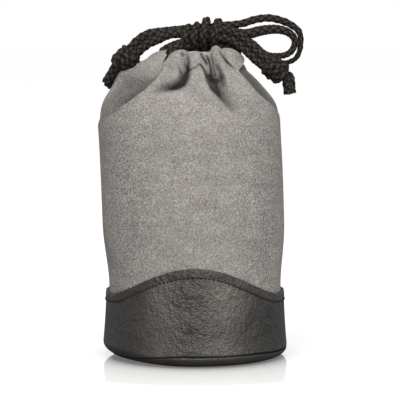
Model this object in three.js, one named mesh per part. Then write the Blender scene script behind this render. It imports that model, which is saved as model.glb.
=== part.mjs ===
// A drawstring pouch for a camera lens: a rolled leather sole and a leather band with a crested top
// edge, a tall wall of two suede panels gathered to a neck, foam and lining inside, and two braided
// drawcords tied over the mouth in a half bow.
// Millimetres, +Z up, front towards -Y, origin on the floor at the middle of the sole.
// Angles run round the pouch from the front, positive towards +X.
import * as THREE from 'three';

// Leather sole and band
const BASE_RADIUS = 50;
const SOLE_ROLL_WIDTH = 7;
const RIM_HEIGHT = 5.3;
const LEATHER = 1.4;
const BAND_SETBACK = 0.3;
const BAND_DRAW = 2.1;
const BAND_SIDE_HEIGHT = 35.3;
const BAND_CREST_RISE = 16.4;
const BAND_CREST_SPREAD = THREE.MathUtils.degToRad(60);
const BINDING_WIDTH = 4.6;
const BINDING_BULGE = 0.6;
const BINDING_EDGE_LIP = 0.2;
const THREAD_DIAMETER = 0.7;

// Layers of the base and of the wall
const SUEDE = 1.2;
const WALL_FOAM = 2.5;
const LINING = 0.8;
const BASE_BOARD = 2;
const BASE_FOAM = 5;
const SEAM_TAPE = 1;
const SEAM_TAPE_WIDTH = 9;
const GAP = 0.3;

// Suede wall, shoulder and neck
const WALL_INSET = 1.1;
const TUCK_REACH = 36;
const HEM_TOP = 163.2;
const SHOULDER_HEIGHT = 43.2;
const SHOULDER_APEX_OVER_HEM = 0.8;
const WALL_LEAN = 4.8;
const LEAN_START = 30;
const NECK_OFFSET = 3;
const PLEAT_START = 9;
const PLEAT_OUT = 3;
const PLEAT_IN = 2.1;
const PLEAT_LIFT = 1.2;
const PLEAT_ROUNDNESS = 0.7;
const HEM_OVERLAP = 1;
const SLIT_GAP = THREE.MathUtils.degToRad(0.8);

// Drawcords and their channel
const CORD_DIAMETER = 4;
const CORD_CLEARANCE = 0.5;
const CHANNEL_RADIUS = 16;
const TIE_RADIUS = 9.2;
const TIE_LENGTH = 15;
const TIE_OFFSET = 2.2;
const TIE_HEIGHT = 9.3;
const TIE_WRAPS = 4;
const LEFT_KNOT_RADIUS = 5.2;
const LEFT_KNOT_LENGTH = 12.6;
const RIGHT_KNOT_RADIUS = 6.3;
const RIGHT_KNOT_LENGTH = 14.6;
const STOPPER_WRAPS = 3;
const WRAP_GROOVE = 0.7;

// Sizes that follow from these
const wallRadiusFull = BASE_RADIUS - WALL_INSET;
const shoulderStart = HEM_TOP - SHOULDER_HEIGHT;
const shoulderRise = SHOULDER_HEIGHT + SHOULDER_APEX_OVER_HEM;
const wallBottom = RIM_HEIGHT + GAP;
const cordRadius = CORD_DIAMETER / 2;
const channelHalf = cordRadius + CORD_CLEARANCE;
const foldRadius = channelHalf + SUEDE;
const foldCentre = HEM_TOP - foldRadius;
const upperRingHeight = foldCentre;
const lowerRingHeight = upperRingHeight - CORD_DIAMETER - CORD_CLEARANCE;
const neckBase = lowerRingHeight - channelHalf;
const hemEnd = neckBase - HEM_OVERLAP;
const pleatBottom = shoulderStart + PLEAT_START;
const paddingOffset = SUEDE + GAP;
const liningOffset = paddingOffset + WALL_FOAM + GAP;
const interiorOffset = liningOffset + LINING;

// Facets of the round pieces
const LATHE_STEPS = 36;
const FOLD_STEPS = 4;
const BAND_STEPS = 30;
const LINING_STEPS = 30;
const CORD_SIDES = 8;
const THREAD_SIDES = 6;
const RING_POINTS = 16;
const CORD_STEPS_LEAST = 3;
const DRAWCORD_STEP = 1.5 * CORD_DIAMETER;
const LOOP_STEP = 2 * CORD_DIAMETER;
const KNOT_SIDES = 20;
const KNOT_RINGS = 3;
const BAND_ROWS = 3;

// Rows of points on the suede: shares of the way up from the band's edge and over the shoulder
const WALL_ROWS = [0, 0.12, 0.25, 0.45, 0.7, 1];
const SHOULDER_ROWS = [0.28, 0.5, 0.68, 0.84, 1];

const suede = new THREE.MeshStandardMaterial({ color: 0x8f8b88, roughness: 0.95, metalness: 0 });
const leather = new THREE.MeshStandardMaterial({ color: 0x33312f, roughness: 0.55, metalness: 0 });
const thread = new THREE.MeshStandardMaterial({ color: 0x1b1a19, roughness: 0.7, metalness: 0 });
const cord = new THREE.MeshStandardMaterial({ color: 0x22201e, roughness: 0.85, metalness: 0 });
const foam = new THREE.MeshStandardMaterial({ color: 0x3a3a3c, roughness: 1, metalness: 0 });
const lining = new THREE.MeshStandardMaterial({ color: 0x4a4846, roughness: 0.9, metalness: 0 });
const board = new THREE.MeshStandardMaterial({ color: 0x5c5148, roughness: 0.9, metalness: 0 });

const { degToRad, lerp, mapLinear, smoothstep } = THREE.MathUtils;
const QUARTER = Math.PI / 2;

function piece(name, geometry, material) {
  const mesh = new THREE.Mesh(geometry, material);
  mesh.name = name;
  return mesh;
}

function polar(radius, angle, height, centre = 0) {
  return new THREE.Vector3(centre + radius * Math.sin(angle), -radius * Math.cos(angle), height);
}

function steps(from, to, count) {
  return Array.from({ length: count + 1 }, (_, index) => lerp(from, to, index / count));
}

// A closed solid between an outer and an inner grid of points. Each column holds its outer and inner
// points from bottom to top, and the columns run round the pouch, right round it if `ring` is set.
function loft(columns, ring = false) {
  const rows = columns[0].outer.length;
  const positions = columns.flatMap(({ outer, inner }) => [...outer, ...inner]).flatMap((p) => p.toArray());
  const outerAt = (column, row) => (column % columns.length) * 2 * rows + row;
  const innerAt = (column, row) => outerAt(column, row) + rows;
  const faces = [];
  const quad = (a, b, c, d) => faces.push(a, b, c, a, c, d);
  const spans = ring ? columns.length : columns.length - 1;
  const top = rows - 1;
  for (let k = 0; k < spans; k += 1) {
    for (let i = 0; i < top; i += 1) {
      quad(outerAt(k, i), outerAt(k + 1, i), outerAt(k + 1, i + 1), outerAt(k, i + 1));
      quad(innerAt(k + 1, i), innerAt(k, i), innerAt(k, i + 1), innerAt(k + 1, i + 1));
    }
    quad(innerAt(k, 0), innerAt(k + 1, 0), outerAt(k + 1, 0), outerAt(k, 0));
    quad(outerAt(k, top), outerAt(k + 1, top), innerAt(k + 1, top), innerAt(k, top));
  }
  if (!ring) {
    for (let i = 0; i < top; i += 1) {
      quad(innerAt(0, i), outerAt(0, i), outerAt(0, i + 1), innerAt(0, i + 1));
      quad(outerAt(spans, i), innerAt(spans, i), innerAt(spans, i + 1), outerAt(spans, i + 1));
    }
  }
  const geometry = new THREE.BufferGeometry();
  geometry.setAttribute('position', new THREE.Float32BufferAttribute(positions, 3));
  geometry.setIndex(faces);
  geometry.computeVertexNormals();
  return geometry;
}

function turned(profile) {
  const points = profile.map(([radius, height]) => new THREE.Vector2(radius, height));
  return new THREE.LatheGeometry(points, LATHE_STEPS).rotateX(QUARTER);
}

function disc(radius, bottom, thickness) {
  return turned([[0, bottom], [radius, bottom], [radius, bottom + thickness], [0, bottom + thickness]]);
}

function tube(route, diameter, sides, stepCount) {
  const corner = (index) => (2 * Math.PI * (index + 0.5)) / sides;
  const rim = Array.from({ length: sides }, (_, index) => corner(index));
  const section = new THREE.Shape(rim.map((angle) => (
    new THREE.Vector2(Math.cos(angle), Math.sin(angle)).multiplyScalar(diameter / 2))));
  const extrudePath = new THREE.CatmullRomCurve3(route);
  return new THREE.ExtrudeGeometry(section, { steps: stepCount, bevelEnabled: false, extrudePath });
}

function cordTube(route, stepLength = LOOP_STEP) {
  const length = new THREE.CatmullRomCurve3(route).getLength();
  const stepCount = Math.max(CORD_STEPS_LEAST, Math.round(length / stepLength));
  return tube(route, CORD_DIAMETER, CORD_SIDES, stepCount);
}

// Band and binding

function bandRadius(height) {
  const reach = BAND_SIDE_HEIGHT + BAND_CREST_RISE - RIM_HEIGHT;
  const rise = Math.min((height - RIM_HEIGHT) / reach, 1);
  return BASE_RADIUS - BAND_SETBACK - BAND_DRAW * (1 - (1 - rise) ** 2);
}

function bandTop(angle) {
  const turn = Math.abs(Math.asin(Math.sin(angle)));
  const share = Math.min(turn / BAND_CREST_SPREAD, 1);
  return BAND_SIDE_HEIGHT + BAND_CREST_RISE * 0.5 * (1 + Math.cos(Math.PI * share));
}

function halfAngles(facing, radius) {
  const edge = QUARTER - GAP / 2 / radius;
  return steps(facing - edge, facing + edge, BAND_STEPS);
}

function bandHalf(facing) {
  return loft(halfAngles(facing, BASE_RADIUS).map((angle) => {
    const heights = steps(wallBottom, bandTop(angle) - BINDING_WIDTH - GAP, BAND_ROWS);
    return {
      outer: heights.map((height) => polar(bandRadius(height), angle, height)),
      inner: heights.map((height) => polar(bandRadius(height) - LEATHER, angle, height)),
    };
  }));
}

function bindingHalf(facing) {
  const swell = [BINDING_EDGE_LIP, BINDING_BULGE, BINDING_EDGE_LIP];
  return loft(halfAngles(facing, BASE_RADIUS).map((angle) => {
    const heights = steps(bandTop(angle) - BINDING_WIDTH, bandTop(angle), swell.length - 1);
    return {
      outer: heights.map((height, row) => polar(bandRadius(height) + swell[row], angle, height)),
      inner: heights.map((height) => polar(bandRadius(height) - LEATHER, angle, height)),
    };
  }));
}

function threadHalf(facing) {
  const clear = BINDING_EDGE_LIP + GAP + THREAD_DIAMETER / 2;
  const route = halfAngles(facing, BASE_RADIUS).map((angle) => {
    const height = bandTop(angle) - BINDING_WIDTH - GAP / 2;
    return polar(bandRadius(height) + clear, angle, height);
  });
  return tube(route, THREAD_DIAMETER, THREAD_SIDES, BAND_STEPS);
}

// Wall of suede, padding and lining

function leanAt(height) {
  return -WALL_LEAN * smoothstep(height, LEAN_START, HEM_TOP);
}

function shoulderRadius(height) {
  const climb = Math.max(height - shoulderStart, 0) / shoulderRise;
  return wallRadiusFull * Math.sqrt(1 - climb ** 2);
}

function suedeRadius(angle, height) {
  const tucked = bandRadius(height) - LEATHER - GAP;
  const free = smoothstep(height - bandTop(angle), 0, TUCK_REACH);
  return lerp(tucked, shoulderRadius(height), free);
}

function wallHeights(angle) {
  const edge = bandTop(angle);
  const above = WALL_ROWS.map((share) => lerp(edge, shoulderStart, share));
  return [wallBottom, (wallBottom + edge) / 2, ...above];
}

function wallShell(angles, offset, thickness, ring) {
  return loft(angles.map((angle) => {
    const at = (height, inset) => polar(suedeRadius(angle, height) - inset, angle, height, leanAt(height));
    const heights = wallHeights(angle);
    return {
      outer: heights.map((height) => at(height, offset)),
      inner: heights.map((height) => at(height, offset + thickness)),
    };
  }), ring);
}

function seamTape(side) {
  const half = SEAM_TAPE_WIDTH / 2 / wallRadiusFull;
  const middle = side * QUARTER;
  return wallShell(steps(middle - half, middle + half, 2), paddingOffset, SEAM_TAPE, false);
}

function paddingHalf(facing) {
  const pitch = (2 * Math.PI) / LINING_STEPS;
  const edge = QUARTER - (SEAM_TAPE_WIDTH / 2 + GAP) / wallRadiusFull;
  const spans = 2 * Math.ceil(edge / pitch);
  return wallShell(steps(facing - edge, facing + edge, spans), paddingOffset, WALL_FOAM, false);
}

function liningSleeve() {
  const angles = steps(0, 2 * Math.PI, LINING_STEPS).slice(0, LINING_STEPS);
  return wallShell(angles, liningOffset, LINING, true);
}

// Where the suede panels' edges run: down the sides of the wall, forward over the shoulder along the
// slits, and apart at the neck, where the drawcords come out. Each hem end gives the edge's angle at the
// neck's base and on the hem.
const leftSeam = { wall: degToRad(-90), slit: degToRad(-44) };
const rightSeam = { wall: degToRad(90), slit: degToRad(66) };
const frontHem = {
  left: { base: degToRad(-47), hem: degToRad(-46) },
  right: { base: degToRad(80), hem: degToRad(82) },
};
const backHem = {
  left: { base: degToRad(110), hem: degToRad(116) },
  right: { base: degToRad(292), hem: degToRad(274) },
};

function slitAngle(seam, height) {
  return lerp(seam.wall, seam.slit, smoothstep(height, shoulderStart, neckBase));
}

// The pleats of each panel, from its left edge to its right edge as seen from outside: where each one
// ends at the neck, its share of the panel's cloth and its columns. The last front pleat is a flat flap.
const frontPleats = [
  { end: degToRad(-20), share: 0.2, columns: 4 },
  { end: degToRad(0.5), share: 0.3, columns: 6 },
  { end: degToRad(7.6), share: 0.07, columns: 4 },
  { end: degToRad(14.7), share: 0.07, columns: 4 },
  { end: degToRad(31.5), share: 0.12, columns: 4 },
  { end: frontHem.right.hem, share: 0.24, columns: 5, flap: true },
];
const backPleats = [
  { end: degToRad(134), share: 0.11, columns: 4 },
  { end: degToRad(150), share: 0.12, columns: 4 },
  { end: degToRad(172), share: 0.14, columns: 4 },
  { end: degToRad(190), share: 0.12, columns: 4 },
  { end: degToRad(212), share: 0.13, columns: 4 },
  { end: degToRad(231), share: 0.12, columns: 4 },
  { end: degToRad(252), share: 0.13, columns: 4 },
  { end: backHem.right.hem, share: 0.13, columns: 4 },
];

function pleatColumns(pleats, { left, right }) {
  const atBase = (angle) => mapLinear(angle, left.hem, right.hem, left.base, right.base);
  const columns = [{ share: 0, neckAngle: left.hem, baseAngle: left.base, ridge: 0 }];
  let start = { share: 0, angle: left.hem };
  for (const pleat of pleats) {
    const last = { share: start.share + pleat.share, angle: pleat.end };
    for (const part of steps(0, 1, pleat.columns).slice(1)) {
      const turn = pleat.flap ? QUARTER * part : Math.PI * part;
      const neckAngle = lerp(start.angle, last.angle, part);
      columns.push({
        share: lerp(start.share, last.share, part),
        neckAngle,
        baseAngle: atBase(neckAngle),
        ridge: Math.max(Math.sin(turn), 0) ** PLEAT_ROUNDNESS,
      });
    }
    start = last;
  }
  return columns;
}

// One column of a panel: up the wall, over the shoulder, up the outside of the hem channel, over its
// fold and down inside the mouth.
function panelColumn({ share, neckAngle, baseAngle, ridge }, leftEdge, rightEdge) {
  const outer = [];
  const azimuths = [];
  const add = (point, angle) => {
    outer.push(point);
    azimuths.push(new THREE.Vector3(Math.cos(angle), Math.sin(angle), 0));
  };
  const between = (valley, crest, angle) => add(valley.lerp(crest, ridge), angle);
  const sideAngle = (height) => lerp(leftEdge(height), rightEdge(height), share);

  const wallAngle = sideAngle(wallBottom);
  for (const height of wallHeights(wallAngle)) {
    add(polar(suedeRadius(wallAngle, height), wallAngle, height, leanAt(height)), wallAngle);
  }
  for (const climb of SHOULDER_ROWS) {
    const height = lerp(shoulderStart, neckBase, climb);
    const gathered = smoothstep(height, pleatBottom, neckBase);
    const angle = lerp(sideAngle(height), baseAngle, gathered);
    const valleyRadius = lerp(shoulderRadius(height), CHANNEL_RADIUS + foldRadius, gathered);
    const crest = polar(shoulderRadius(height), angle, height, leanAt(height));
    between(polar(valleyRadius, angle, height, lerp(leanAt(height), NECK_OFFSET, gathered)), crest, angle);
  }
  const collar = (neckBase + foldCentre) / 2;
  const collarCentre = (leanAt(collar) + NECK_OFFSET) / 2;
  const collarCrest = polar(shoulderRadius(collar), neckAngle, collar, collarCentre);
  between(polar(CHANNEL_RADIUS + foldRadius, neckAngle, collar, NECK_OFFSET), collarCrest, neckAngle);
  for (const turn of steps(0, Math.PI, FOLD_STEPS)) {
    const out = Math.cos(turn);
    const up = Math.sin(turn);
    const spread = out > 0 ? PLEAT_OUT * out : PLEAT_IN * out;
    const radius = CHANNEL_RADIUS + foldRadius * out;
    const height = foldCentre + foldRadius * up;
    const crest = polar(radius + spread, neckAngle, height + PLEAT_LIFT * up, NECK_OFFSET);
    between(polar(radius, neckAngle, height, NECK_OFFSET), crest, neckAngle);
  }
  const mouth = CHANNEL_RADIUS - foldRadius;
  const mouthCrest = polar(mouth - PLEAT_IN, neckAngle, hemEnd, NECK_OFFSET);
  between(polar(mouth, neckAngle, hemEnd, NECK_OFFSET), mouthCrest, neckAngle);

  const last = outer.length - 1;
  const inner = outer.map((point, row) => {
    const along = outer[Math.min(row + 1, last)].clone().sub(outer[Math.max(row - 1, 0)]);
    const outward = azimuths[row].clone().cross(along).normalize();
    return point.clone().addScaledVector(outward, -SUEDE);
  });
  return { outer, inner };
}

function frontPanel() {
  const left = (height) => slitAngle(leftSeam, height) + SLIT_GAP / 2;
  const right = (height) => slitAngle(rightSeam, height) - SLIT_GAP / 2;
  const columns = pleatColumns(frontPleats, frontHem);
  return loft(columns.map((column) => panelColumn(column, left, right)));
}

function backPanel() {
  const left = (height) => slitAngle(rightSeam, height) + SLIT_GAP / 2;
  const right = (height) => slitAngle(leftSeam, height) + 2 * Math.PI - SLIT_GAP / 2;
  const columns = pleatColumns(backPleats, backHem);
  return loft(columns.map((column) => panelColumn(column, left, right)));
}

// Sole and base layers

function sole() {
  const flat = BASE_RADIUS - SOLE_ROLL_WIDTH;
  const roll = (width, rise, turn) => [flat + width * Math.cos(turn), RIM_HEIGHT - rise * Math.sin(turn)];
  const turns = steps(QUARTER, 0, FOLD_STEPS);
  const outside = turns.map((turn) => roll(SOLE_ROLL_WIDTH, RIM_HEIGHT, turn));
  const inside = turns.map((turn) => roll(SOLE_ROLL_WIDTH - LEATHER, RIM_HEIGHT - LEATHER, turn));
  return turned([[0, 0], ...outside, ...inside.reverse(), [0, LEATHER]]);
}

function baseLayers() {
  const flat = BASE_RADIUS - SOLE_ROLL_WIDTH;
  const inside = suedeRadius(0, BAND_SIDE_HEIGHT + BAND_CREST_RISE) - interiorOffset - 2 * GAP;
  const boardBottom = LEATHER + GAP;
  const foamBottom = boardBottom + BASE_BOARD + GAP;
  const liningBottom = foamBottom + BASE_FOAM + GAP;
  return [
    piece('base_board', disc(flat, boardBottom, BASE_BOARD), board),
    piece('base_foam_pad', disc(inside, foamBottom, BASE_FOAM), foam),
    piece('base_lining_disc', disc(inside, liningBottom, LINING), lining),
  ];
}

// Cords, in a group whose origin is the middle of the neck at the hem's top

function route(points) {
  return points.map(([x, y, z]) => new THREE.Vector3(x, y, z));
}

function ringArc(from, to, height) {
  return steps(from, to, RING_POINTS).map((angle) => polar(CHANNEL_RADIUS, angle, height - HEM_TOP));
}

// Each drawcord leaves the tie, goes in at its own side of the neck, runs right round the channel and
// comes back out beside itself.
function leftDrawcord() {
  const front = route([
    [-6.8, -3.2, 2.6], [-9.4, -4.8, 2.9], [-12.6, -7.4, 2.2], [-14.2, -8.6, -0.4], [-13.6, -9.2, -2.7],
  ]);
  const back = route([
    [-15.6, -4.2, -3], [-15.4, -4.6, -0.2], [-13.4, -2.8, 2.5], [-9.4, -0.2, 3], [-6.8, 1.5, 2.6],
  ]);
  const ring = ringArc(degToRad(-49), degToRad(280), upperRingHeight);
  return cordTube([...front, ...ring, ...back], DRAWCORD_STEP);
}

function rightDrawcord() {
  const front = route([
    [10.8, 0, 1.7], [14, 0, 1.8], [18.8, 0.2, 1.2],
    [21.6, 0.3, -1.4], [21.8, 0.2, -4.8], [19.4, -0.6, -7.5],
  ]);
  const back = route([
    [19.2, 5.2, -7.5], [21.8, 4.8, -4.8], [21.6, 4.7, -1.4],
    [18.8, 4.6, 1.2], [14, 4.4, 1.8], [10.8, 4.4, 1.7],
  ]);
  const ring = ringArc(degToRad(83), degToRad(-248), lowerRingHeight);
  return cordTube([...front, ...ring, ...back], DRAWCORD_STEP);
}

const bowLoopOuter = route([
  [12.1, 2.4, 14.3], [16.6, 2.6, 14.2], [22.8, 3, 14.9], [29, 3.8, 17.1], [36.2, 4.8, 18],
  [42.4, 5.6, 16.7], [48.2, 6, 14.2], [52.7, 6.2, 10.5], [53.8, 6.2, 5.6], [53.1, 6.2, -0.1],
  [51.3, 6.3, -3.7], [48.6, 6.4, -5.5], [44.4, 6.6, -6.3], [38.4, 6.8, -4.8], [30.9, 7, -0.2],
  [23.3, 6.9, 4.6], [17, 6.7, 6.1], [11.3, 6.5, 6.2],
]);

const bowLoopInner = route([
  [11.8, 2.4, 10.5], [17, 2.4, 10.6], [22.8, 2.4, 10.4], [27.6, 2.4, 9.8], [33.6, 2.4, 11.4],
  [40.2, 2.4, 12], [46.9, 2.4, 10], [50.9, 2.6, 6.1], [50.7, 2.6, 2.5], [48.2, 2.6, -0.5],
  [43.3, 2.6, -2.3], [37.5, 2.6, -1.9], [32.6, 2.6, 0.8], [28.2, 2.4, 4.9], [22.8, 2, 6.1],
  [17, 1.9, 6.1], [11.3, 1.9, 6.2],
]);

const leftPullUpper = route([
  [-7.2, 2.6, 11.3], [-13.6, 2.8, 11], [-18.3, 3.2, 10.9], [-23.5, 3.8, 10.5],
  [-27.4, 4.4, 9.5], [-31, 5, 8.1], [-33.6, 5.6, 6.4], [-36.6, 6.3, 3.2],
]);
const leftPullLower = route([
  [-7.2, -1.8, 9.4], [-12, -1.6, 9.6], [-16.9, -1, 9], [-20.7, -0.2, 7.4],
  [-24.2, 1, 5.5], [-27.7, 2.4, 3.6], [-31, 3.8, 1.9], [-34.6, 4.8, 0.3],
]);
const leftTailUpper = route([[-47.4, 7.4, -7.2], [-50.2, 9.6, -11.4], [-52.8, 11.4, -15.6]]);
const leftTailLower = route([[-44, 9.6, -9.8], [-46.6, 12.2, -14.4], [-49.4, 14.4, -18.8]]);

const rightPullUpper = route([
  [11.5, -5, 11.6], [17, -5.2, 11], [22.8, -5.4, 8.4], [28.2, -5.8, 3.9], [36.6, -6.8, -2.6],
]);
const rightPullLower = route([
  [11.5, -5, 7], [15.6, -5.2, 5.9], [20.1, -5.4, 3.4], [24.6, -5.8, -0.1], [33.6, -6.8, -5.6],
]);
const rightTailUpper = route([[48.5, -7.2, -14.8], [49.3, -7, -18.2], [49.3, -7, -22.4]]);
const rightTailLower = route([[45, -7.6, -18.4], [45.2, -7.4, -20.4], [45.2, -7.2, -23]]);

// A knot is turned round its own axis, with one bulge for each wrap of cord.
function knot(radius, length, wraps) {
  const points = [new THREE.Vector2(0, -length / 2)];
  for (const share of steps(0, wraps, KNOT_RINGS * wraps)) {
    const bulge = Math.sqrt(Math.abs(Math.sin(Math.PI * share)));
    const height = length * (share / wraps - 0.5);
    points.push(new THREE.Vector2(radius - WRAP_GROOVE * (1 - bulge), height));
  }
  points.push(new THREE.Vector2(0, length / 2));
  return new THREE.LatheGeometry(points, KNOT_SIDES);
}

// A stopper knot lies midway between the ends of its two pulls and the starts of its two tails.
function stopperKnot(name, geometry, pulls, tails) {
  const mesh = piece(name, geometry, cord);
  const middle = (points) => points[0].clone().lerp(points[1], 0.5);
  const pullEnd = middle(pulls.map((points) => points.at(-1)));
  const tailStart = middle(tails.map((points) => points[0]));
  const along = tailStart.clone().sub(pullEnd).normalize();
  mesh.position.copy(middle([pullEnd, tailStart]));
  mesh.quaternion.setFromUnitVectors(new THREE.Vector3(0, 1, 0), along);
  return mesh;
}

function cords() {
  const group = new THREE.Group();
  group.position.set(NECK_OFFSET, 0, HEM_TOP);
  const tie = piece('tie_knot', knot(TIE_RADIUS, TIE_LENGTH, TIE_WRAPS), cord);
  tie.position.set(TIE_OFFSET, 0, TIE_HEIGHT);
  const leftStopper = knot(LEFT_KNOT_RADIUS, LEFT_KNOT_LENGTH, STOPPER_WRAPS);
  const leftPulls = [leftPullUpper, leftPullLower];
  const leftTails = [leftTailUpper, leftTailLower];
  const rightStopper = knot(RIGHT_KNOT_RADIUS, RIGHT_KNOT_LENGTH, STOPPER_WRAPS);
  const rightPulls = [rightPullUpper, rightPullLower];
  const rightTails = [rightTailUpper, rightTailLower];
  group.add(
    piece('left_drawcord', leftDrawcord(), cord),
    piece('right_drawcord', rightDrawcord(), cord),
    tie,
    piece('bow_loop_outer', cordTube(bowLoopOuter), cord),
    piece('bow_loop_inner', cordTube(bowLoopInner), cord),
    piece('left_pull_upper', cordTube(leftPullUpper), cord),
    piece('left_pull_lower', cordTube(leftPullLower), cord),
    stopperKnot('left_stopper_knot', leftStopper, leftPulls, leftTails),
    piece('left_tail_upper', cordTube(leftTailUpper), cord),
    piece('left_tail_lower', cordTube(leftTailLower), cord),
    piece('right_pull_upper', cordTube(rightPullUpper), cord),
    piece('right_pull_lower', cordTube(rightPullLower), cord),
    stopperKnot('right_stopper_knot', rightStopper, rightPulls, rightTails),
    piece('right_tail_upper', cordTube(rightTailUpper), cord),
    piece('right_tail_lower', cordTube(rightTailLower), cord),
  );
  return group;
}

const pouch = new THREE.Group();
pouch.add(piece('base_sole', sole(), leather), ...baseLayers());
for (const [side, facing] of [['front', 0], ['back', Math.PI]]) {
  pouch.add(
    piece(`leather_band_${side}`, bandHalf(facing), leather),
    piece(`band_binding_${side}`, bindingHalf(facing), leather),
    piece(`band_thread_${side}`, threadHalf(facing), thread),
    piece(`wall_padding_${side}`, paddingHalf(facing), foam),
  );
}
pouch.add(
  piece('left_seam_tape', seamTape(-1), lining),
  piece('right_seam_tape', seamTape(1), lining),
  piece('lining_sleeve', liningSleeve(), lining),
  piece('suede_front_panel', frontPanel(), suede),
  piece('suede_back_panel', backPanel(), suede),
  cords(),
);

export default pouch;
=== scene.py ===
import math

import bpy
import numpy as np
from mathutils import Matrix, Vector


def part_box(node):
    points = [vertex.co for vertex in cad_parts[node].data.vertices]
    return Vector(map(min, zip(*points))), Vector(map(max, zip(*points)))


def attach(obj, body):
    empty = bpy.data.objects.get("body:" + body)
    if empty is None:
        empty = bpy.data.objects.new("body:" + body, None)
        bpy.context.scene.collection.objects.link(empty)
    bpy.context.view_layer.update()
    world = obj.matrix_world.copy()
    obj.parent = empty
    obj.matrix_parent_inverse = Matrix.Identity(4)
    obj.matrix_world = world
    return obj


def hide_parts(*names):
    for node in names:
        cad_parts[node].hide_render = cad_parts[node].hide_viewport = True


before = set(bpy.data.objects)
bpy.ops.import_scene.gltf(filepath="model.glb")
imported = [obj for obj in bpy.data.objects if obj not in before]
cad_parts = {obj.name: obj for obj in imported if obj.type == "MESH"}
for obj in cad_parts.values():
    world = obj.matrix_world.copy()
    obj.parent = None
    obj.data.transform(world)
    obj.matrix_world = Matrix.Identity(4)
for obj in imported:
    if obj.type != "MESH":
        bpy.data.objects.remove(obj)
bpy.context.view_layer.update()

MM = 0.001
TAU = 2 * math.pi
deg = math.radians

# The photograph's camera
PICTURE = 400
FOCAL_PIXELS = 2231.7
SENSOR = 36
CAMERA_DISTANCE = 1200
CAMERA_ELEVATION = deg(5.39)
CAMERA_TARGET = np.array([2.7, 0, 83.4])
CAMERA_CLIP_END = 100

# Leather sole
BASE_RADIUS = 50
LEATHER = 1.4
RIM_HEIGHT = 5.3
SOLE_ROLL_WIDTH = 7
SOLE_EDGE_DROP = 0.3
SOLE_FLOOR_INSET = 5
LEFT_ROLL_RISE = 2.7
LEFT_ROLL_SPREAD = 6
LEFT_ROLL_SINES = (0.1, 0.9)
SEAM_OVER_RIM = 0.2
LEFT_SEAM_DROP = 3.4
RIGHT_SEAM_DROP = 1.2
RIGHT_SEAM_SINES = (0.6, 1)
# Points of the sole's lip: how far in from the rim, and how far below the seam
SOLE_LIP = [(0.15, 0.12), (0.6, 0), (1.2, 0.2), (LEATHER + 0.4, 0.9)]

# Leather band, its binding and stitches
BAND_SETBACK = 0.3
BAND_DRAW = 2.1
BAND_SIDE_HEIGHT = 35.3
BAND_CREST_RISE = 16.7
BAND_CREST_SPREAD = deg(72)
BAND_OVER_SEAM = 0.1
BAND_TUCK = 1.1
BAND_TUCK_REACH = 1.1
BAND_TOP_TUCK = 0.15
BAND_TOP_SHARES = (0.97, 1)
SIDE_SEAM_WIDTH = 0.9
BAND_SEAM_DIP = 0.7
BINDING_SEAM_DIP = 0.6
BINDING_WIDTH = 4.6
BINDING_BULGE = 0.42
BINDING_ROUNDNESS = 0.35
BINDING_SINK = 0.2
BINDING_INSET = 0.2
STITCH_PITCH = 2.2
STITCH_LENGTH = 1.35
STITCH_RADIUS = 0.3
STITCH_END = 0.45
STITCH_BELOW_BINDING = 0.3
STITCH_OUT = 0.05
STITCH_ARCH = 0.42
STITCH_SINK = 0.22

# Wrinkles of the leather, from 0 for none, and its tone with painted highlight streaks. Streaks: place
# across, and strength below and above their rise
WRINKLES_OFF_CENTRE = 4
WRINKLES_REACH = 38
WRINKLES_RISE = (5, 28)
WRINKLED_BELOW = 0.5
LEAST_WRINKLED = 0.12
SOLE_WRINKLED = 0.25
BINDING_WRINKLED = (0.4, 1)
HIGHLIGHT_STREAKS = [(-17.5, 1.1, 1.3), (17, 1.0, 2.1)]
HIGHLIGHT_STREAK_WIDTH = 12
HIGHLIGHT_STREAK_RISE = (18, 38)
BRIGHTEST_TONE = 2.5
SOLE_TONE = 0.23
BINDING_TONE_AND_HIGHLIGHT = (0.33, 0.75)

# Layers of the wall and of the base.
SUEDE = 1.2
WALL_FOAM = 2.5
LINING = 0.8
BASE_FOAM = 5
SEAM_TAPE = 1
SEAM_TAPE_WIDTH = 9
GAP = 0.3
# Points of a disc's edge: how far in from its radius, and the share of its thickness
DISC_EDGE = [(1.2, 0), (0.3, 0.3), (0, 0.55), (0.5, 0.85), (2, 1)]
# A turned solid's middle has this radius, so that no face there has a zero edge
AXIS_RADIUS = 0.01

# Suede wall, shoulder and neck
WALL_INSET = 1.1
TUCK_REACH = 36
HEM_TOP = 163.2
SHOULDER_HEIGHT = 43.2
SHOULDER_APEX_OVER_HEM = 0.8
WALL_LEAN = 4.8
LEAN_START = 30
BELLY_SHIFT = 1
BELLY_HEIGHT = 115
BELLY_REACH = 28
RIGHT_FULLNESS = 1.3
RIGHT_FULLNESS_ANGLE = deg(88)
RIGHT_FULLNESS_SPREAD = deg(28)
RIGHT_FULLNESS_HEIGHT = 136
RIGHT_FULLNESS_REACH = 7
LEFT_PUFF = 6
LEFT_PUFF_ANGLE = deg(-90)
LEFT_PUFF_SPREAD = deg(24)
LEFT_PUFF_RISE = (141, 157.5)
LEFT_PUFF_FALL = (158, 169)
NECK_OFFSET = 3
PLEAT_START = 9
PLEAT_OUT = 3
PLEAT_IN = 2.1
PLEAT_ROUNDNESS = 0.7
COLLAR_FLARE = 0.9
HEM_OVERLAP = 1
EDGE_LIFT = 0.8
EDGE_SHARE = 0.04
SLIT_RISE = 12
LAP_BELOW_SHOULDER = 4
# Depth of a fold at which its painted shade is darkest
FULL_SHADE_DEPTH = 6
# Between these distances from the middle the grain is painted more contrasty, standing in for grazing light
GRAZING_GRAIN_FROM_MIDDLE = (16, 42)
CREASED_FRONT = (4, 10)
# How many times a panel is smoothed: the front, its creases, and the back
FRONT_SMOOTHING = 6
CREASE_SMOOTHING = 1
BACK_SMOOTHING = 4
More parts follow.
